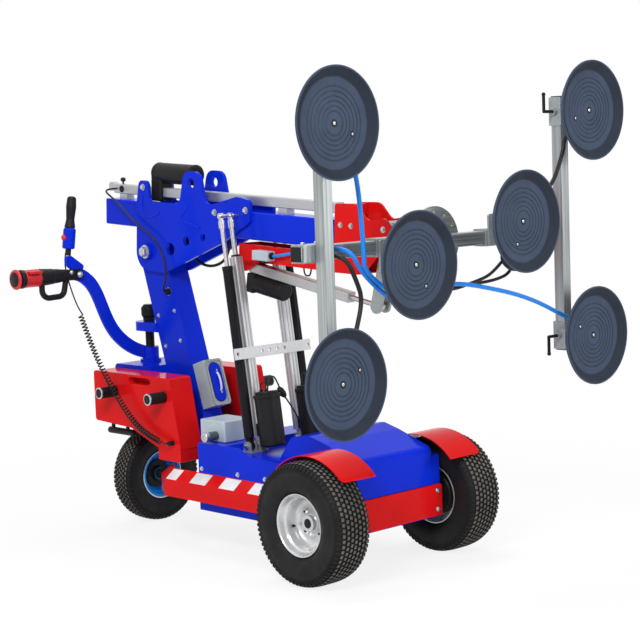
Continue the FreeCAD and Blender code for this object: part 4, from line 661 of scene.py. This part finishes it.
def patches(name, body, outlines, thickness, material):
    """Thin plates on flat faces, each with its corners round the outward side."""
    mesh = bmesh.new()
    for corners in outlines:
        low = [mesh.verts.new(c) for c in corners]
        face = mesh.faces.new(low)
        face.normal_update()
        rise = face.normal * thickness
        high = [mesh.verts.new(v.co + rise) for v in low]
        mesh.faces.new(high)
        bridge(mesh, low, high)
    bmesh.ops.recalc_face_normals(mesh, faces=mesh.faces)
    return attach(piece(name, finished(name, mesh), material), body)


# Tyres: a carcass with ribbed walls and a turf tread of small blocks
WHEEL_X = 353
FRONT_R = 228.5
FRONT_HALF = 86
FRONT_BEAD = 116
FRONT_BLOCKS = 72
REAR_AXLE = (0, 1360, 200)
REAR_R = 200
REAR_HALF = 56
REAR_BEAD = 103
REAR_BLOCKS = 60
TREAD_DEPTH = 7
DUST_DEPTH = 4.5
ROW_PITCH = 19.0
ROW_WIDTH = 13.5
ROWS_EACH_SIDE = 3
BLOCK_SHARE = 0.74
BLOCK_SKEW = 14


def turf_rows(half, radius, count):
    """Rows of blocks across the tread, each set on by half a block, with lugs down the shoulders."""
    rows = []
    width = half / FRONT_HALF
    length = 2 * math.pi * radius / count * BLOCK_SHARE
    for k in range(-ROWS_EACH_SIDE, ROWS_EACH_SIDE + 1):
        drop = 3.0 * (k / ROWS_EACH_SIDE) ** 4
        skew = BLOCK_SKEW if k < 0 else -BLOCK_SKEW
        lean = math.copysign(k * k * 1.5, -k)
        rows.append((k * ROW_PITCH * width, count, 0.5 * (k % 2), skew, lean, radius - 5.2 - drop,
                     (10, length, ROW_WIDTH * width)))
    for side in (-1, 1):
        rows.append((side * 0.845 * half, count, 0.25, 0, -side * 48, radius - 15, (9, 11, 16)))
        rows.append((side * 0.925 * half, 2 * count, 0.0, 0, -side * 72, radius - 27, (5, 4.5, 13)))
    return rows


def tyre(name, node, body, at, axis, half, radius, bead, count):
    tread = radius - TREAD_DEPTH
    wall = [(0.70 * half, bead - 4), (0.72 * half, bead + 3), (0.86 * half, bead + 10),
            (0.97 * half, bead + 26), (half, bead + 44), (0.985 * half, radius - 46),
            (0.95 * half, radius - 32), (0.955 * half, radius - 31), (0.90 * half, radius - 20),
            (0.82 * half, radius - 12), (0.66 * half, tread), (0.3 * half, tread + 1)]
    profile = [(-a, r) for a, r in wall] + [(a, r) for a, r in reversed(wall)]
    parts = [turned_mesh(name + "_carcass", profile, 96)]
    for along, blocks, phase, skew, lean, out, block in turf_rows(half, radius, count):
        values = {"Count": blocks, "Radius": out / 1000, "Along": along / 1000, "Phase": phase,
                  "Skew": math.radians(skew), "Lean": math.radians(lean), "Taper": 0.2,
                  "Block": tuple(b / 1000 for b in block), "Material": tyre_rubber}
        parts.append(BLOCK_RING.grown(name + "_row", bpy.data.meshes.new(name), values))
    data = joined(name, parts)
    data.materials.append(tyre_rubber)
    data.materials.append(tread_dust)
    worn = (radius - DUST_DEPTH) / 1000
    for face in data.polygons:
        out = Vector((face.center.x, face.center.y, 0))
        face.material_index = int(out.length > worn and face.normal.dot(out.normalized()) > 0.8)
    data.transform(axis_place(at, axis))
    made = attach(piece(name, data), body)
    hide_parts(node)


for name, side in SIDES:
    tyre("tread_" + name, "front_tyre_" + name, "wheel_" + name, place(side * WHEEL_X, 0, FRONT_R), TO_RIGHT,
         FRONT_HALF, FRONT_R, FRONT_BEAD, FRONT_BLOCKS)
tyre("tread_rear", "rear_tyre", "rear_wheel", place(*REAR_AXLE), BACKWARD, REAR_HALF, REAR_R, REAR_BEAD,
     REAR_BLOCKS)

# Rear wheel: hub plate in front, bright lips on both sides
REAR_PLATE = [(-6, 30.3), (-6, 58), (0, 60), (4, 58), (5, 34), (15, 33), (17.7, 31), (17.7, 25), (17.2, 25),
              (17.2, 30.3)]
REAR_LIP = [(-1, 98.5), (-1, 103.6), (2, 103.6), (3, 101), (2, 98.5)]
PLATE_OUT = 0.008
LIP_OUT = 0.0428
rear_hub = place(*REAR_AXLE)
turned_piece("rear_plate", "rear_wheel", REAR_PLATE, rear_hub + FORWARD * PLATE_OUT, FORWARD, black_mould)
for name, out in (("front", FORWARD), ("rear", BACKWARD)):
    turned_piece("rear_lip_" + name, "rear_wheel", REAR_LIP, rear_hub + out * LIP_OUT, out, bright_zinc, 96)

# Front rims: rolled lips, bead seats and a drop centre of thin sheet round a dished web
RIM_STEP = [(66.5, 116), (68.2, 115), (68.2, 112.5), (66, 110), (60, 107.5), (46, 104), (42.5, 102), (40, 98),
            (37, 95.5)]
RIM_SEAT = [(31, 98), (38, 101), (46, 107), (60.5, 111), (64, 115)]
RIM_WEB = [(8, 93), (-2, 91), (-9, 86), (-13, 79), (-14, 70), (-13, 56), (-9.5, 44), (-3, 36), (4.5, 34),
           (6, 32.5), (6, 17.6), (-56, 17.6), (-56, 34), (-21, 34), (-21, 78), (-25, 88), (-31, 93)]
RIM = [*RIM_STEP, *RIM_WEB, *((-a, r) for a, r in reversed(RIM_STEP)),
       *((-a, r) for a, r in reversed(RIM_SEAT)), *RIM_SEAT]
LUG_TURNS = (45, 135, 225, 315)
LUG_CIRCLE = 0.0508
LUG_SEAT = -0.0135
HUB_PLUG = [(20, 0), (20, 18), (23, 18), (24, 16.5), (24, 0)]
DRUM = [(20, 38), (20, 82), (50, 82), (54, 78), (54, 38)]
VALVE = [(0, 0), (0, 5.5), (12, 5), (14, 4), (26, 4), (28, 3), (28, 0)]
VALVE_SPOKE = Vector((0, 0.97, -0.24))
VALVE_RADIUS = 0.093
VALVE_OUT = 0.012
for name, side in SIDES:
    wheel = "wheel_" + name
    hub = place(side * WHEEL_X, 0, FRONT_R)
    out = sideways(side)
    made = turned_piece("rim_" + name, wheel, RIM, hub, out, rim_silver, 128)
    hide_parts("front_rim_" + name)
    nuts = []
    for turn in LUG_TURNS:
        a = math.radians(turn)
        nuts.append((hub + out * LUG_SEAT + Vector((0, math.cos(a), math.sin(a))) * LUG_CIRCLE, out))
    fasteners("wheel_nuts_" + name, wheel, nuts, LUG_NUT, ground_steel)
    fasteners("wheel_studs_" + name, wheel, nuts, LUG_STUD, black_mould)
    turned_piece("hub_cap_" + name, "chassis", HUB_PLUG, hub, out, black_mould, 40)
    turned_piece("drum_" + name, wheel, DRUM, hub, -out, black_mould)
    valve_at = hub + VALVE_SPOKE * VALVE_RADIUS + out * VALVE_OUT
    turned_piece("valve_" + name, wheel, VALVE, valve_at, out * 0.5 - VALVE_SPOKE, black_mould, 16)

# Suction discs: rings moulded in the face, painted shade on the face in its grooves and round its flat part,
# the lip in a darker rubber for painted shade, and the eyelets of the two ports in black mouths of painted
# shade
DISC_FLAT = -503
CENTRES = {"upper_right": (-662, 1649), "lower_right": (-662, 807), "upper_left": (662, 1678),
           "lower_left": (662, 836)}
MIDDLES = {"middle_right": (-300, 1170), "middle_left": (265, 1286)}
GROOVES = (38, 54, 70, 86, 102, 118)
# Painted shadow line at the step round the flat face of a disc
EDGE_SHADOW_LINE = [(-1, 147.5), (0.6, 147.5), (0.6, 151), (-1, 151)]
PORTS = {"upper_right": -24, "lower_right": 26, "upper_left": -161, "lower_left": 154, "middle_right": -59,
         "middle_left": -113}
PORT_CIRCLE = 0.088
# Outer radii of the black mouths: painted shade of the port holes, wider than the holes
CENTRE_MOUTH = 13.0
PORT_MOUTH = 10.0
DISC_LIP = [(0.5, 151.6), (19.9, 179.0), (19.5, 180.2), (-0.8, 152.6)]


def disc_face(key, body, x, z):
    """Painted shade rings where the grooves and the edge of the flat face lie, raised edges moulded in a
    disc's face, its lip in a darker rubber for painted shade, and the eyelets of its two ports in black
    mouths of painted shade.
    """
    centre = place(x, DISC_FLAT, z)
    dark = []
    raised = []
    # Thin dark rings standing on the face are painted shade of the grooves
    for r in GROOVES:
        dark.append(turned_mesh(key, [(-1, r - 1.3), (0.5, r - 1.3), (0.5, r + 1.3), (-1, r + 1.3)], 96))
        raised.append(turned_mesh(key, [(-1, r + 1.2), (1.3, r + 1.8), (1.3, r + 3.0), (-1, r + 4.5)], 96))
    dark.append(turned_mesh(key, EDGE_SHADOW_LINE, 96))
    for name, parts, coat in (("disc_groove_", dark, disc_groove), ("disc_rings_", raised, disc_rubber)):
        data = joined(name + key, parts)
        data.transform(axis_place(centre, FORWARD))
        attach(piece(name + key, data, coat), body)
    # A dark skin over the lip of the disc: painted shade of its slope
    turned_piece("disc_lip_" + key, body, DISC_LIP, centre, FORWARD, disc_lip, 128)
    turn = math.radians(PORTS[key])
    port = centre + Vector((math.cos(turn), 0, math.sin(turn))) * PORT_CIRCLE
    for k, (at, rim) in enumerate(((centre, CENTRE_MOUTH), (port, PORT_MOUTH))):
        # A black ring on the face round each hole, out to the mouth's radius: painted shade of the hole's
        # mouth
        mouth = [(-1, 5), (0.9, 5), (0.9, rim - 1), (-1, rim)]
        turned_piece("disc_mouth_%d_%s" % (k, key), body, mouth, at, FORWARD, black_mould, 32)
        dome = [(-2, 0), (-2, rim * 0.46), (1.2, rim * 0.46), (2.2, rim * 0.3), (2.2, 2), (0.5, 1.5),
                (0.5, 0)]
        turned_piece("disc_eyelet_%d_%s" % (k, key), body, dome, at, FORWARD, bright_zinc, 24)


for key, (x, z) in CENTRES.items():
    disc_face(key, "carriage_" + key, x, z)
for key, (x, z) in MIDDLES.items():
    disc_face(key, "yoke", x, z)

# Side rails: white reflective films on the slope, screws of the tub above
FILM_SPANS = ((850, 912), (670, 765), (497, 587), (330, 416))
SLOPE_LOW = (297.5, 274.9)
SLOPE_HIGH = (254, 308.0)
FILM_T = 0.0008
TUB_X = 250
TUB_SCREWS = ((740, 327), (523, 327), (365, 327))
for name, side in SIDES:
    for k, (start, end) in enumerate(FILM_SPANS):
        spots = ((SLOPE_LOW, start), (SLOPE_LOW, end), (SLOPE_HIGH, end), (SLOPE_HIGH, start))
        corners = [place(side * x, y, z) for (x, z), y in spots]
        if side > 0:
            corners.reverse()
        patches("rail_film_%d_%d" % (k, side + 1), "chassis", [corners], FILM_T, white_film)
    heads = [(place(side * TUB_X, y, z), sideways(side)) for y, z in TUB_SCREWS]
    fasteners("tub_screws_%d" % (side + 1), "chassis", heads, TUB_HEAD, ground_steel)

# Lines of the leaning boom, rams and cabinet that the small fittings sit on
DROOP = math.radians(3.5)
PIVOT = (1254, 1167)
RAM_FOOT = (545, 425)
RAM_LEAN = math.radians(7.842)
MAST_LEAN = math.radians(17.3)
CABINET_FOOT = (967.2, 514)
RAM_UP = Vector((0, math.sin(RAM_LEAN), math.cos(RAM_LEAN)))
BOOM_UP = Vector((0, -math.sin(DROOP), math.cos(DROOP)))
BOOM_BACK = Vector((0, math.cos(DROOP), math.sin(DROOP)))
CABINET_OUT = Vector((0, -math.cos(MAST_LEAN), math.sin(MAST_LEAN)))


def boom_point(x, along, up):
    """Point of the drooped boom, from its level place counted from the pivot."""
    return place(x, PIVOT[0] + along * math.cos(DROOP) - up * math.sin(DROOP),
                 PIVOT[1] + along * math.sin(DROOP) + up * math.cos(DROOP))


def ram_point(x, out, up):
    """Point beside a ram, up along it and out from it."""
    return place(x, RAM_FOOT[0] + out * math.cos(RAM_LEAN) + up * math.sin(RAM_LEAN),
                 RAM_FOOT[1] - out * math.sin(RAM_LEAN) + up * math.cos(RAM_LEAN))


def cabinet_point(x, up, out):
    """Point of the cabinet, up along the mast and out from it."""
    return place(x, CABINET_FOOT[0] + up * math.sin(MAST_LEAN) - out * math.cos(MAST_LEAN),
                 CABINET_FOOT[1] + up * math.cos(MAST_LEAN) + out * math.sin(MAST_LEAN))


# Boom: pivot nuts, bolts and ribs of the cheeks, gussets of the lifting tabs, stop knob, bands of the drive
PIVOT_NUT_X = 88
CHEEK_X = 70
RIB_X = 69.5
TAB_X = 60
CHEEK_BOLTS = ((-431, 191), (-618, 211), (34, 268))
CHEEK_RIBS = (((-264, 208), (-242, 184), (-214, 158), (-222, 146), (-262, 138), (-340, 122)),
              ((38, 246), (40, 190), (38, 156), (18, 146), (-20, 146), (-50, 152), (-78, 166)))
RIB_R = 0.0045
TAB_GUSSET = ((6, 262), (6, 160), (-92, 160), (-70, 168), (-42, 184), (-20, 208), (-6, 236))
GUSSET_T = 0.0098
for name, side in SIDES:
    out = sideways(side)
    pivot_nut = [(place(side * PIVOT_NUT_X, *PIVOT), out)]
    fasteners("pivot_nut_" + name, "chassis", pivot_nut, PIVOT_NUT, bright_zinc)
    bolts = [(boom_point(side * CHEEK_X, *c), out) for c in CHEEK_BOLTS]
    fasteners("cheek_bolts_" + name, "boom", bolts, CHEEK_HEAD, bright_zinc)
    for k, rib in enumerate(CHEEK_RIBS):
        rib_name = "cheek_rib_%s_%d" % (name, k)
        line = spline_points(rib_name, [boom_point(side * RIB_X, *c) for c in rib], 8)
        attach(piece(rib_name, tube_mesh(rib_name, line, RIB_R, 10), blue_paint), "boom")
    gusset = [boom_point(side * TAB_X, *c) for c in TAB_GUSSET]
    if side > 0:
        gusset.reverse()
    patches("tab_gusset_" + name, "boom", [gusset], GUSSET_T, blue_paint)
STOP_KNOB = [(-2, 0), (-2, 4), (9, 4), (11, 8), (16, 11.5), (22, 11.5), (27, 8), (29, 0)]
turned_piece("stop_knob", "boom", STOP_KNOB, boom_point(0, 262, 267), BOOM_UP, black_mould, 32)
DRIVE_PORT = [(-1, 0), (-1, 15), (1.5, 15), (2.5, 14), (2.5, 0)]
turned_piece("drive_port", "boom", DRIVE_PORT, boom_point(-20, 246, 247), TO_RIGHT, black_mould, 32)
DRIVE_BAND = [(-3, 30), (-3, 43.8), (5, 43.8), (7, 42), (7, 30)]
for name, along in (("front", -228), ("rear", 4)):
    turned_piece("drive_band_" + name, "boom", DRIVE_BAND, boom_point(0, along, 327), BOOM_BACK, black_mould)

# Rams: collars and caps on top of the barrels, bands and grommets of the motors, slot lines, foot nuts
STRUT_X = 160
ACTUATOR_X = 110
ACTUATOR_HALF = 20
MOTOR_OUT = -78
STRUT_COLLAR = [(-14, 9.6), (-14, 21.2), (1, 21.2), (3, 19), (3, 9.6)]
DRIVE_CAP = [(0, 10.6), (0, 18), (6, 18), (8, 16), (8, 10.6)]
MOTOR_BAND = [(-3, 44), (-3, 50.6), (3, 50.6), (3, 44)]
GROMMET = [(-2, 0), (-2, 8), (6, 8), (8, 6), (8, 0)]
GROMMETS_OUT = (MOTOR_OUT, -48)
LID_UP = 205
SLOTS_ACROSS = (-8, 8)
SLOT_HALF = 2.5
SLOT_ENDS = (40, 738)
SLOT_T = 0.0005
FOOT_PIN_HALF = 20.5


def slot_outlines(x):
    """Two slot lines on each face of a square actuator, their corners round the outward side."""
    low, high = SLOT_ENDS
    outlines = []
    for across in SLOTS_ACROSS:
        a, b = across - SLOT_HALF, across + SLOT_HALF
        for hand in (-1, 1):
            side_face = ((a, high), (b, high), (b, low), (a, low))
            outlines.append([ram_point(x + hand * ACTUATOR_HALF, -hand * s, up) for s, up in side_face])
            front_face = ((a, low), (b, low), (b, high), (a, high))
            outlines.append([ram_point(x - hand * s, hand * ACTUATOR_HALF, up) for s, up in front_face])
    return outlines


def barrel_piece(name, profile, x, out, up, segments=64):
    turned_piece(name, "lift_barrels", profile, ram_point(x, out, up), RAM_UP, black_mould, segments)


for name, side in SIDES:
    actuator_x = side * ACTUATOR_X
    barrel_piece("strut_collar_" + name, STRUT_COLLAR, side * STRUT_X, 0, 705, 40)
    barrel_piece("drive_cap_" + name, DRIVE_CAP, actuator_x, 0, 742, 40)
    barrel_piece("motor_band_" + name, MOTOR_BAND, actuator_x, MOTOR_OUT, 22)
    for k, out in enumerate(GROMMETS_OUT):
        barrel_piece("motor_grommet_%s_%d" % (name, k), GROMMET, actuator_x, out, LID_UP, 24)
    patches("drive_slots_" + name, "lift_barrels", slot_outlines(actuator_x), SLOT_T, slot_shade)
    ends = []
    for x in (ACTUATOR_X, STRUT_X):
        for hand in (-1, 1):
            ends.append((place(side * x + hand * FOOT_PIN_HALF, *RAM_FOOT), sideways(hand)))
    fasteners("foot_nuts_" + name, "chassis", ends, FOOT_NUT, bright_zinc)

# Motor leads: loops on the lids and the joined lead between the two motors
LEAD_D = 0.0065
LEADS = {
    "lead_loop_right": ((-110, 526, 640), (-110, 531, 662), (-110, 515, 674), (-110, 499, 664),
                        (-110, 497, 646)),
    "lead_loop_left": ((110, 526, 640), (110, 535, 664), (110, 520, 686), (110, 500, 676), (110, 497, 646)),
    "lead_joined": ((-106, 492, 645), (-105, 492, 670), (-90, 496, 692), (-60, 505, 692), (-34, 515, 664),
                    (-12, 520, 625), (10, 506, 585), (28, 490, 545), (42, 480, 508), (62, 482, 486)),
}
for name, route in LEADS.items():
    line = spline_points(name, placed(route), 8)
    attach(cord(name, line, LEAD_D, hose_black, 10), "lift_barrels")
LEAD_JOINT = [(-24, 0), (-24, 6), (-18, 10), (-10, 13.5), (10, 13.5), (18, 10), (24, 6), (24, 0)]
LEAD_RUN = (22, -16, -40)
turned_piece("lead_joint", "lift_barrels", LEAD_JOINT, place(-10, 517, 621), LEAD_RUN, black_mould, 20)

# Under the boom: the sagging lead, and the plug and screws of the mast
SAG_D = 0.012
SAG = ((0, 1100, 1252), (0, 1075, 1190), (0, 1018, 1124), (0, 940, 1104), (0, 857, 1122), (0, 813, 1170),
       (0, 800, 1234))
line = spline_points("sag_lead", placed(SAG))
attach(cord("sag_lead", line, SAG_D, hose_black), "boom")
MAST_X = 50
MAST_PLUG = [(0, 0), (0, 15), (6, 15), (6, 12), (16, 12), (16, 9), (24, 7), (24, 0)]
MAST_PLUG_RING = [(0.5, 14), (0.5, 17), (4, 17), (4, 14)]
MAST_SCREWS = ((1121, 920), (1089, 797), (1228, 896), (1188, 768))
mast_plug_at = place(-MAST_X, 1150, 1000)
turned_piece("mast_plug", "chassis", MAST_PLUG, mast_plug_at, TO_RIGHT, black_mould, 24)
turned_piece("mast_plug_ring", "chassis", MAST_PLUG_RING, mast_plug_at, TO_RIGHT, bright_zinc, 24)
screws = [(place(side * MAST_X, *c), sideways(side)) for name, side in SIDES for c in MAST_SCREWS]
fasteners("mast_screws", "chassis", screws, MAST_HEAD, bright_zinc)

# Cabinet: folded rim, rounded door and its pull
CORNER_STEPS = 8


def rounded_outline(half, low, high, radius):
    """Points round an upright plate with round corners, from its half width and its two ends."""
    points = []
    spots = ((half - radius, high - radius), (radius - half, high - radius), (radius - half, low + radius),
             (half - radius, low + radius))
    for quarter, (x, up) in enumerate(spots):
        for k in range(CORNER_STEPS + 1):
            a = math.radians(90 * (quarter + k / CORNER_STEPS))
            points.append((x + radius * math.cos(a), up + radius * math.sin(a)))
    return points


def cabinet_plate(name, half, low, high, radius, back, front, material, margin=0.0):
    """Plate with round corners on the cabinet's front, or a frame where a margin is given."""
    mesh = bmesh.new()
    outlines = [rounded_outline(half, low, high, radius)]
    if margin:
        outlines.append(rounded_outline(half - margin, low + margin, high - margin, radius - margin))
    loops = []
    for outline in outlines:
        for out in (back, front):
            loops.append([mesh.verts.new(cabinet_point(x, up, out)) for x, up in outline])
    pairs = [(loops[0], loops[1])]
    if margin:
        pairs += [(loops[1], loops[3]), (loops[3], loops[2]), (loops[2], loops[0])]
    else:
        mesh.faces.new(loops[1])
        mesh.faces.new(reversed(loops[0]))
    for a, b in pairs:
        bridge(mesh, a, b)
    bmesh.ops.recalc_face_normals(mesh, faces=mesh.faces)
    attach(piece(name, finished(name, mesh), material), "chassis")


cabinet_plate("cabinet_rim", 44.5, 0.5, 194.5, 16, 76.5, 83, spangle, 8.5)
cabinet_plate("cabinet_seam", 31.5, 13.5, 181.5, 31, 78, 80, black_mould)
cabinet_plate("cabinet_door", 29, 16, 179, 28.5, 78, 82, blue_paint)
PULL = ((6, 60, 81), (6, 64, 88), (8, 98, 91), (6, 132, 88), (6, 136, 81))
PULL_R = 0.0045
PULL_SCREWS = ((6, 52, 81.5), (6, 146, 81.5))
line = spline_points("cabinet_pull", placed(PULL, cabinet_point), 8)
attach(piece("cabinet_pull", tube_mesh("cabinet_pull", line, PULL_R, 10), white_film), "chassis")
screws = [(cabinet_point(*c), CABINET_OUT) for c in PULL_SCREWS]
fasteners("cabinet_screws", "chassis", screws, PULL_HEAD, bright_zinc)

# Bright end caps on the pegs, and the plug of the control box
PEG_END = 333
PEG_Z = 594
PEG_ROWS = (("rear", 1290), ("front", 965))
PEG_CAP = [(-4, 0), (-4, 23.8), (0.6, 23.8), (2, 22), (2, 15), (-1, 13), (-1, 0)]
PEG_CORE = [(-3, 0), (-3, 12), (0.5, 12), (1, 11), (1, 0)]
for name, side in SIDES:
    for row, y in PEG_ROWS:
        peg_end = place(side * PEG_END, y, PEG_Z)
        key = "%s_%s" % (row, name)
        turned_piece("peg_cap_" + key, "chassis", PEG_CAP, peg_end, sideways(side), bright_zinc, 40)
        turned_piece("peg_core_" + key, "chassis", PEG_CORE, peg_end, sideways(side), black_mould, 32)
CONTROL_PLUG = (700, 457)
PLUG_CAP = [(-14, 0), (-14, 19), (2, 19), (4, 17), (4, 9), (-3, 8), (-3, 0)]
PLUG_BAND = [(-5, 12), (-5, 17.5), (5, 17.5), (5, 12)]
PLUG_SLEEVE = [(-22, 10), (-22, 16.6), (22, 16.6), (22, 10)]
turned_piece("plug_cap", "chassis", PLUG_CAP, place(-262, *CONTROL_PLUG), TO_RIGHT, bright_zinc, 40)
for k, x in enumerate((-214, -232)):
    turned_piece("plug_band_%d" % k, "chassis", PLUG_BAND, place(x, *CONTROL_PLUG), TO_RIGHT, slate, 32)
turned_piece("plug_sleeve", "chassis", PLUG_SLEEVE, place(-224, *CONTROL_PLUG), TO_RIGHT, slate, 32)

# Head: end caps of the square tubes, clamp bolts, fittings and leads of the vacuum block, frame bolts
CAP_STEPS = ((-1.0, 1.0), (2.0, 1.0), (3.5, 0.9), (3.5, 0.5))


def square_cap(name, centre, axis, across, half):
    """Plastic stopper with drawn-in edges in the end of a square tube of the yoke."""
    beside = axis.cross(across)
    mesh = bmesh.new()
    rings = []
    for out, share in CAP_STEPS:
        reach = half * share / 1000
        ring = []
        for a, b in ((1, 1), (-1, 1), (-1, -1), (1, -1)):
            ring.append(mesh.verts.new(centre + axis * (out / 1000) + (across * a + beside * b) * reach))
        rings.append(ring)
    for a, b in zip(rings, rings[1:]):
        bridge(mesh, a, b)
    mesh.faces.new(rings[0])
    mesh.faces.new(rings[-1])
    bmesh.ops.recalc_face_normals(mesh, faces=mesh.faces)
    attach(piece(name, finished(name, mesh), black_mould), "yoke")


YOKE_Z = 1228
BEAM_Y = -342
BEAM_END = 700
BEAM_CAP_HALF = 24.5
BAR_X = 620
BAR_Y = -395
BAR_REACH = 475
BAR_CAP_HALF = 22
BAR_RISE = {"right": 0, "left": 29}
CLAMP_X = 638.5
CLAMP_BACK = -311.5
CLAMP_TOP = 1258.5
for name, side in SIDES:
    square_cap("beam_cap_" + name, place(side * BEAM_END, BEAM_Y, YOKE_Z), sideways(side), UP, BEAM_CAP_HALF)
    for level, up in (("upper", 1), ("lower", -1)):
        bar_end = place(side * BAR_X, BAR_Y, YOKE_Z + BAR_RISE[name] + up * BAR_REACH)
        square_cap("bar_cap_%s_%s" % (level, name), bar_end, UP * up, sideways(1), BAR_CAP_HALF)
    heads = []
    for dx in (-38, 38):
        for dz in (-14, 14):
            heads.append((place(side * CLAMP_X + dx, CLAMP_BACK, YOKE_Z + dz), BACKWARD))
    heads += [(place(side * CLAMP_X + dx, BEAM_Y, CLAMP_TOP), UP) for dx in (-30, 30)]
    fasteners("clamp_bolts_" + name, "yoke", heads, CLAMP_HEAD, bright_zinc)
VACUUM_X = -79
VACUUM_FITTING = [(-1, 0), (-1, 7), (4, 7), (5, 5), (11, 5), (11, 0)]
for k, along in enumerate((-718, -738, -758)):
    foot = boom_point(VACUUM_X, along, 24)
    turned_piece("vacuum_fitting_%d" % k, "extension", VACUUM_FITTING, foot, -BOOM_UP, black_mould, 24)
VACUUM_NOSE = [(-1, 0), (-1, 13), (4, 13), (5, 9), (12, 9), (12, 0)]
nose = boom_point(VACUUM_X, -780, 45)
turned_piece("vacuum_nose", "extension", VACUUM_NOSE, nose, -BOOM_BACK, black_mould, 24)
STUB_D = 0.012
STUB = ((VACUUM_X, -786, 45), (VACUUM_X, -815, 48), (-77, -850, 55), (-70, -880, 61), (-56, -905, 64))
line = spline_points("vacuum_stub", placed(STUB, boom_point))
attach(cord("vacuum_stub", line, STUB_D, hose_blue), "extension")
VALVE_LEAD = ((-50, -934, 13), (-50, -936, -4), (-50, -944, -18), (-50, -966, -18), (-50, -974, -4),
              (-50, -976, 13))
line = spline_points("valve_lead", placed(VALVE_LEAD, boom_point), 8)
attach(cord("valve_lead", line, LEAD_D, hose_black, 10), "extension")
HEAD_X = 68
HEAD_BOLTS = ((-1370, 188), (-1150, 110), (-1150, 190), (-1205, 110), (-1205, 190))
heads = [(boom_point(side * HEAD_X, *c), sideways(side)) for name, side in SIDES for c in HEAD_BOLTS]
fasteners("head_bolts", "extension", heads, FRAME_HEAD, bright_zinc)

# Steering: screws of the knuckle, dark centre of the stop button, grip rings on the handle
KNUCKLE_SCREW = (-402, 1343.5, 1101)
KNUCKLE_BOLT = (-365, 1337, 1090)
fasteners("knuckle_screws", "handle", [(place(*KNUCKLE_SCREW), FORWARD)], KNUCKLE_HEAD, bright_zinc)
fasteners("knuckle_bolt", "steering", [(place(*KNUCKLE_BOLT), FORWARD)], KNUCKLE_NUT, bright_zinc)
HANDLE_LINE = (1360, 1090)
BUTTON_CENTRE = [(-1, 0), (-1, 30), (1, 30), (2, 28), (2, 0)]
button = place(-670, *HANDLE_LINE)
turned_piece("button_centre", "belly_switch", BUTTON_CENTRE, button, TO_RIGHT, black_mould, 40)
GRIP_RINGS = 6
RING_START = -546
RING_PITCH = 11
GRIP_END = -556
GRIP_R = 35
GRIP_TAPER = 6 / 91
for k in range(GRIP_RINGS):
    x = RING_START + k * RING_PITCH
    r = GRIP_R - (x - GRIP_END) * GRIP_TAPER
    ring = [(-2.4, r - 3), (-2.4, r + 0.4), (0, r + 1.4), (2.4, r + 0.4), (2.4, r - 3)]
    turned_piece("grip_ring_%d" % k, "handle", ring, place(x, *HANDLE_LINE), TO_RIGHT, black_mould, 48)

# Front: screws of the bumper
BUMPER_FACE = -85
heads = [(place(x, BUMPER_FACE, z), FORWARD) for x in (-226, 226) for z in (190, 262)]
fasteners("bumper_screws", "chassis", heads, FRAME_HEAD, bright_zinc)


# Floor, backdrop and light
def seen_rays(tree):
    """Light Path's share of camera, glossy and transmission rays, as one socket."""
    path = tree.nodes.new("ShaderNodeLightPath")
    seen = path.outputs["Is Camera Ray"]
    for kind in ("Is Glossy Ray", "Is Transmission Ray"):
        either = tree.nodes.new("ShaderNodeMath")
        either.operation = "MAXIMUM"
        tree.links.new(seen, either.inputs[0])
        tree.links.new(path.outputs[kind], either.inputs[1])
        seen = either.outputs["Value"]
    return seen


FLOOR_SIZE = 40
FLOOR_GLOW = (0.84, 1.0)
FLOOR_FADE = (1.0, 3.0)


def floor():
    """White floor: mostly its own white where it is seen, with the shadow left in near the object."""
    mesh = bmesh.new()
    bmesh.ops.create_grid(mesh, x_segments=1, y_segments=1, size=FLOOR_SIZE)
    f = Finish("floor_white", 0.9, specular=0.0)
    f.colours(f.noise(0.7), (0.93, 0.93, 0.93), (0.95, 0.95, 0.95))
    glow = f.node("ShaderNodeEmission")
    far = f.node("ShaderNodeVectorMath", operation="LENGTH")
    f.join(f.coords, far.inputs[0])
    share = f.node("ShaderNodeMath", operation="MULTIPLY")
    mix = f.node("ShaderNodeMixShader")
    f.join(seen_rays(f.tree), share.inputs[0])
    f.join(f.spread(far.outputs["Value"], *FLOOR_GLOW, *FLOOR_FADE), share.inputs[1])
    f.join(share.outputs["Value"], mix.inputs["Fac"])
    f.join(f.shader.outputs["BSDF"], mix.inputs[1])
    f.join(glow.outputs["Emission"], mix.inputs[2])
    f.join(mix.outputs["Shader"], f.tree.nodes["Material Output"].inputs["Surface"])
    piece("floor", finished("floor", mesh), f.material)


WORLD_LEVEL = 0.42


def world_light(strength):
    """Even light at a plain level, seen as white."""
    world = bpy.data.worlds.new("studio")
    bpy.context.scene.world = world
    world.use_nodes = True
    tree = world.node_tree
    background = tree.nodes["Background"]
    level = tree.nodes.new("ShaderNodeMapRange")
    level.inputs["To Min"].default_value = strength
    level.inputs["To Max"].default_value = 1.0
    tree.links.new(seen_rays(tree), level.inputs["Value"])
    background.inputs["Color"].default_value = (1, 1, 1, 1)
    tree.links.new(level.outputs["Result"], background.inputs["Strength"])


def softbox(name, at, target, size, power):
    data = bpy.data.lights.new(name, "AREA")
    data.shape = "RECTANGLE"
    data.size, data.size_y = size
    data.energy = power
    lamp = bpy.data.objects.new(name, data)
    bpy.context.collection.objects.link(lamp)
    lamp.location = at
    lamp.rotation_euler = (Vector(target) - Vector(at)).to_track_quat("-Z", "Y").to_euler()


floor()
world_light(WORLD_LEVEL)
softbox("key", (-4.5, -3.0, 4.6), (0, 0, 0.8), (2.6, 0.9), 250)
softbox("fill", (2.0, -5.4, 2.2), (0, 0, 0.9), (2.4, 1.2), 80)
softbox("top", (0.4, 0.8, 5.4), (0, 0, 0.8), (3.0, 1.0), 110)
bpy.context.scene.view_settings.view_transform = "Standard"
